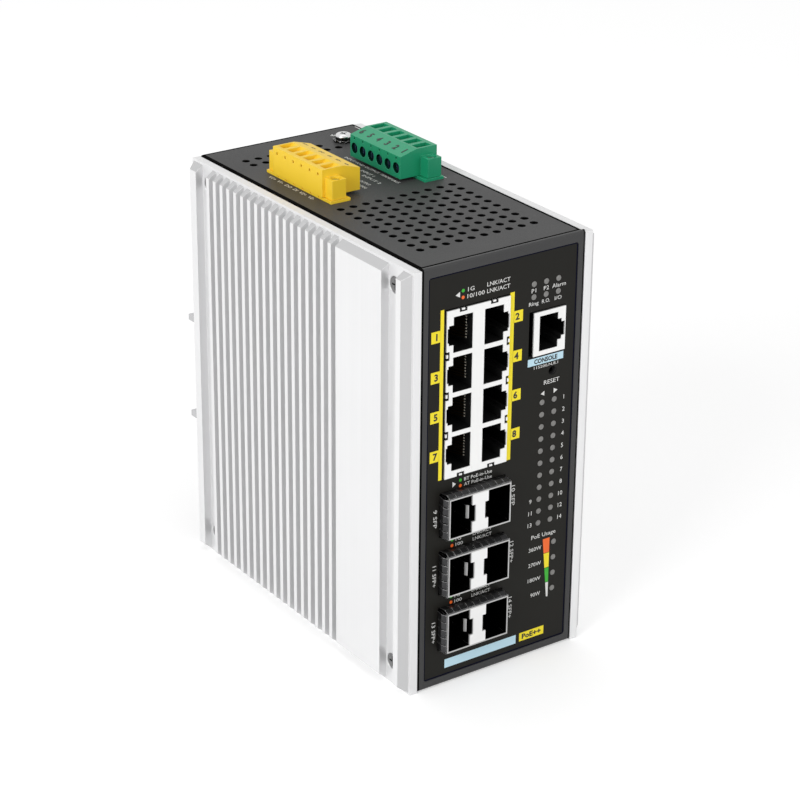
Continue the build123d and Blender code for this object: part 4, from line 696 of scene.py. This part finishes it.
# words, middle x, middle z, cap height, width
labelWords = [("PoE++", 48.15, 7.3, 1.8, 8.2), ("CONSOLE", 50.4, 109.3, 1.55, 9.6)]
frontWords = [
    ("1G", 19.4, 140.9, 1.4, 2.5), ("LNK/ACT", 30.3, 140.9, 1.4, 9.2),
    ("10/100", 21.35, 138.6, 1.4, 6.8), ("LNK/ACT", 30.3, 138.6, 1.4, 9.2),
    ("BT PoE-in-Use", 23.75, 74.4, 1.2, 11.3), ("AT PoE-in-Use", 23.75, 72.5, 1.2, 11.3),
    ("P1", 44.6, 134.6, 1.4, 1.8), ("P2", 49.7, 134.6, 1.4, 2.1), ("Alarm", 54.9, 134.6, 1.4, 5.6),
    ("Ring", 44.7, 130.1, 1.3, 3.9), ("R.O.", 49.7, 130.1, 1.3, None), ("I/O", 54.7, 130.1, 1.3, 2.8),
    ("115200,N,8,1", 50.6, 107.1, 0.95, 10.0), ("RESET", 53.2, 100.9, 1.5, 6.4),
    ("PoE Usage", 52.0, 44.4, 1.45, 10.3),
    ("360W", 48.6, 39.8, 1.4, 5.4), ("270W", 48.6, 33.9, 1.4, 5.4), ("180W", 48.6, 28.1, 1.4, 5.4),
    ("90W", 49.3, 22.2, 1.4, 4.1),
]
blackParts += [letters(frontPlane, *word, **onLabel) for word in labelWords]
whiteParts += [letters(frontPlane, *word) for word in frontWords]

cagePitch = 21.2
cageLegend = [  # words between the cages, as above with the z of the upper row
    ("1G", 16.2, 53.2, 1.2, 2.2), ("100", 16.6, 51.2, 1.2, 3.0),
    ("LNK/ACT", 26.0, 53.2, 1.2, 7.7), ("LNK/ACT", 26.0, 51.2, 1.2, 7.7),
]
for row in range(len(cageRows) - 1):
    for words, x, z, height, width in cageLegend:
        whiteParts.append(letters(frontPlane, words, x, z - row * cagePitch, height, width))
cageNames = {"left": 6.6, "right": 38.5, "first": 62.8, "height": 1.45, "rows": [  # words and widths
    ("9 SFP", 6.6, "10 SFP", 7.4), ("11 SFP+", 7.8, "12 SFP+", 8.0), ("13 SFP+", 7.8, "14 SFP+", 8.0)]}
for row, pair in enumerate(cageNames["rows"]):
    z = cageNames["first"] - row * cagePitch
    for side, word, width in (("left", pair[0], pair[1]), ("right", pair[2], pair[3])):
        whiteParts.append(letters(frontPlane, word, cageNames[side], z, cageNames["height"], width, turn=-90))

lampNumbers = {
    "right": 58.6, "left": 45.9, "first": 93.9, "pitch": 4.45, "height": 1.55, "rows": 11, "single": 8,
}
for row in range(lampNumbers["rows"]):  # one number a row for the copper ports, then two for the modules
    z = lampNumbers["first"] - row * lampNumbers["pitch"]
    number = row + 1 + max(0, row - lampNumbers["single"] + 1)
    whiteParts.append(letters(frontPlane, str(number), lampNumbers["right"], z, lampNumbers["height"]))
    if row >= lampNumbers["single"]:
        whiteParts.append(letters(frontPlane, str(number - 1), lampNumbers["left"], z, lampNumbers["height"]))
arrows = [  # x of the tip, x of the back, z, half the height
    (13.3, 15.0, 139.8, 0.95), (14.8, 13.4, 73.5, 1.0), (48.8, 50.3, 97.1, 0.85), (55.8, 54.2, 97.1, 0.9),
]
for tip, back, z, half in arrows:
    corners = [(tip, z), (back, z - half), (back, z + half)]
    whiteParts.append(flatMark(frontPlane, corners if tip < back else corners[::-1]))

dots = [  # ink, x, z, radius, rows
    (greenParts, 16.25, 140.9, 0.6, 1), (orangeParts, 16.25, 138.6, 0.6, 1),
    (greenParts, 16.6, 74.4, 0.55, 1), (orangeParts, 16.6, 72.4, 0.6, 1),
    (greenParts, 13.65, 53.3, 0.55, 2), (orangeParts, 13.65, 51.2, 0.6, 2),
]
for bucket, x, z, radius, rows in dots:
    bucket += [flatMark(frontPlane, disc(x, z - row * cagePitch, radius)) for row in range(rows)]

gauge = {"edge": 54.7, "ends": (51.8, 54.05), "levels": (42.5, 19.7), "gap": 0.18}  # wedge of four colours


def gaugeLeft(z):
    # left end of the wedge, on the line between its two ends
    (x0, x1), (z0, z1) = gauge["ends"], gauge["levels"]
    return x0 + (x1 - x0) * (z0 - z) / (z0 - z1)


gaugeInks = (orangeParts, yellowParts, greenParts, whiteParts)
gaugeStep = (gauge["levels"][0] - gauge["levels"][1]) / len(gaugeInks)
for n, bucket in enumerate(gaugeInks):
    high = gauge["levels"][0] - n * gaugeStep
    low = high - gaugeStep + gauge["gap"]
    corners = [(gaugeLeft(low), low), (gauge["edge"], low), (gauge["edge"], high), (gaugeLeft(high), high)]
    bucket.append(flatMark(frontPlane, corners))

# print on the top cover: u runs from the back to the front, v from left to right
coverWords = [  # words, middle u, middle v, cap height, width
    ("V1+  V1-  DO  DI  V2+  V2-", -87.5, 7.85, 1.4, 28.0),
    ("INPUT AND OUTPUT TERMINALS", -87.9, 41.0, 1.2, 33.0),
    ("INPUT 1", -85.65, 37.75, 1.25, 7.6), ("INPUT 2", -79.65, 35.3, 1.25, 10.6),
    ("OUTPUT", -77.9, 31.4, 1.25, 5.8), ("COM", -75.85, 28.5, 1.25, 5.4),
]
whiteParts += [letters(topPlane, *word) for word in coverWords]
# ground sign: bars that grow shorter, and a stem
ground = {"u": -127.1, "v": 50.9, "bars": (2.6, 1.7, 0.8), "step": 0.5, "line": 0.25, "stem": (0.24, 0.8)}
strokes = [(width, -n * ground["step"], ground["line"]) for n, width in enumerate(ground["bars"])]
for width, drop, rise in strokes + [(ground["stem"][0], 0.0, ground["stem"][1])]:
    u, v = ground["u"], ground["v"] + drop
    whiteParts.append(flatMark(topPlane, rectangle(u - width / 2, u + width / 2, v, v + rise)))
for dash in ((-68.9, -67.0, 57.3, 57.7), (-131.2, -127.7, 62.8, 63.2)):  # beside the alarm terminal
    whiteParts.append(flatMark(topPlane, rectangle(*dash)))

# marks on the sloped strips of the two plugs, which run between two distances from the plug's side
plugSlope = {"start": 8.5, "end": 15.2, "high": 10.8, "low": 9.0}
plugMarks = [  # plug, way it rises along X, words, height up the strip, cap height, weight, ink
    ("alarm_plug", 1, "654321", 3.6, 2.5, boldWeight, blackParts),
    ("power_plug", -1, ("V1+", "V1-", "DO", "DI", "V2+", "V2-"), -3.8, 1.3, 0.0, greyParts),
]


def slopePlane(node, way):
    # plane of a plug's sloped strip, up towards +X
    low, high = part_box(node)
    origin = np.array([(low if way > 0 else high)[0], frontY, topZ + plugSlope["low"] * mm])
    rise = (plugSlope["high"] - plugSlope["low"]) / (plugSlope["end"] - plugSlope["start"])
    up = np.array([1.0, 0, way * rise])
    up /= np.linalg.norm(up)
    reading = np.array([0, -1.0, 0])
    return origin, reading, up, np.cross(reading, up)


for node, way, words, v, height, weight, bucket in plugMarks:
    low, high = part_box(node)
    middle = (low[1] + high[1]) / 2 / mm - frontY / mm
    plane = slopePlane(node, way)
    for n, word in enumerate(words):
        u = -middle - ((poles - 1) / 2 - n) * polePitch / mm
        bucket.append(letters(plane, word, u, v, height, thick=2 * printThick, weight=weight))

prints = {  # piece: parts, ink, slot
    "printYellow": (yellowParts, "yellowInk", "overlay"),
    "printBlack": (blackParts, "blackInk", "overlay"),
    "printWhite": (whiteParts, "whiteInk", "overlay"),
    "printBlue": (blueParts, "blueInk", "overlay"),
    "printGreen": (greenParts, "greenInk", "overlay"),
    "printOrange": (orangeParts, "orangeInk", "overlay"),
    "printGrey": (greyParts, "greyInk", "yellow_plastic"),
}
for name, (parts, inkName, slotName) in prints.items():
    joinPieces(name, parts, inkFinishes[inkName])
print("print laid on the front, the top and the plugs")


# lenses of the indicators, in millimetres from the front panel's lower left corner
lens = {
    "radius": 1.0, "rise": 0.24, "sink": 0.25, "rings": 6, "segments": 20,
    "status": {"first": (44.7, 136.85), "pitch": (5.0, 4.5), "count": (3, 2)},
    "ports": {"first": (49.5, 93.95), "pitch": (5.1, 4.45), "count": (2, 11)},
    "usage": {"first": (56.5, 40.45), "pitch": (1.0, 5.95), "count": (1, 4)},
}


def turned(profile, centres, axis, segments):
    # surface of revolution: point = centre + r(t) * (cos a, sin a) + h(t) * axis, closed at both poles
    profile = np.asarray(profile, float)
    around = np.linspace(0, 2 * np.pi, segments, endpoint=False)
    axis = np.asarray(axis, float)
    side = np.cross(axis, [0.0, 0.0, 1.0])
    side /= np.linalg.norm(side)
    other = np.cross(axis, side)
    ring = np.cos(around)[:, None] * side + np.sin(around)[:, None] * other
    body = profile[1:-1, 0, None, None] * ring + profile[1:-1, 1, None, None] * axis
    rings = len(profile) - 2
    a = np.arange(segments)
    b = (a + 1) % segments
    faces = [(0, int(1 + j), int(1 + i)) for i, j in zip(a, b)]
    for start in 1 + np.arange(rings - 1) * segments:
        band = np.stack([a, b, b + segments, a + segments], 1) + start
        faces += [tuple(map(int, f)) for f in band]
    rim, last = 1 + (rings - 1) * segments, 1 + rings * segments
    faces += [(last, int(rim + i), int(rim + j)) for i, j in zip(a, b)]
    local = np.concatenate([[profile[0, 1] * axis], body.reshape(-1, 3), [profile[-1, 1] * axis]]) * mm
    return [(np.asarray(centre) + local, faces) for centre in centres]


lensCentres = []
for group in ("status", "ports", "usage"):
    spot = lens[group]
    column, row = [steps.ravel() for steps in np.meshgrid(*(np.arange(count) for count in spot["count"]))]
    x = spot["first"][0] + spot["pitch"][0] * column
    z = spot["first"][1] - spot["pitch"][1] * row
    lensCentres += list(onPlane(frontPlane, np.stack([x, z], 1), np.zeros(len(x))))
swell = np.linspace(0, np.pi / 2, lens["rings"])[:-1]
domeProfile = [(0.0, -lens["sink"]), (lens["radius"], -lens["sink"])]
domeProfile += [(lens["radius"] * math.cos(a), lens["rise"] * math.sin(a)) for a in swell]
domeProfile.append((0.0, lens["rise"]))
domes = turned(domeProfile, lensCentres, (0.0, -1.0, 0.0), lens["segments"])
joinPieces("indicatorLenses", domes, finishes["frostedPipe"])

scene = bpy.context.scene
scene.view_settings.view_transform = "Standard"
print("scene ready")
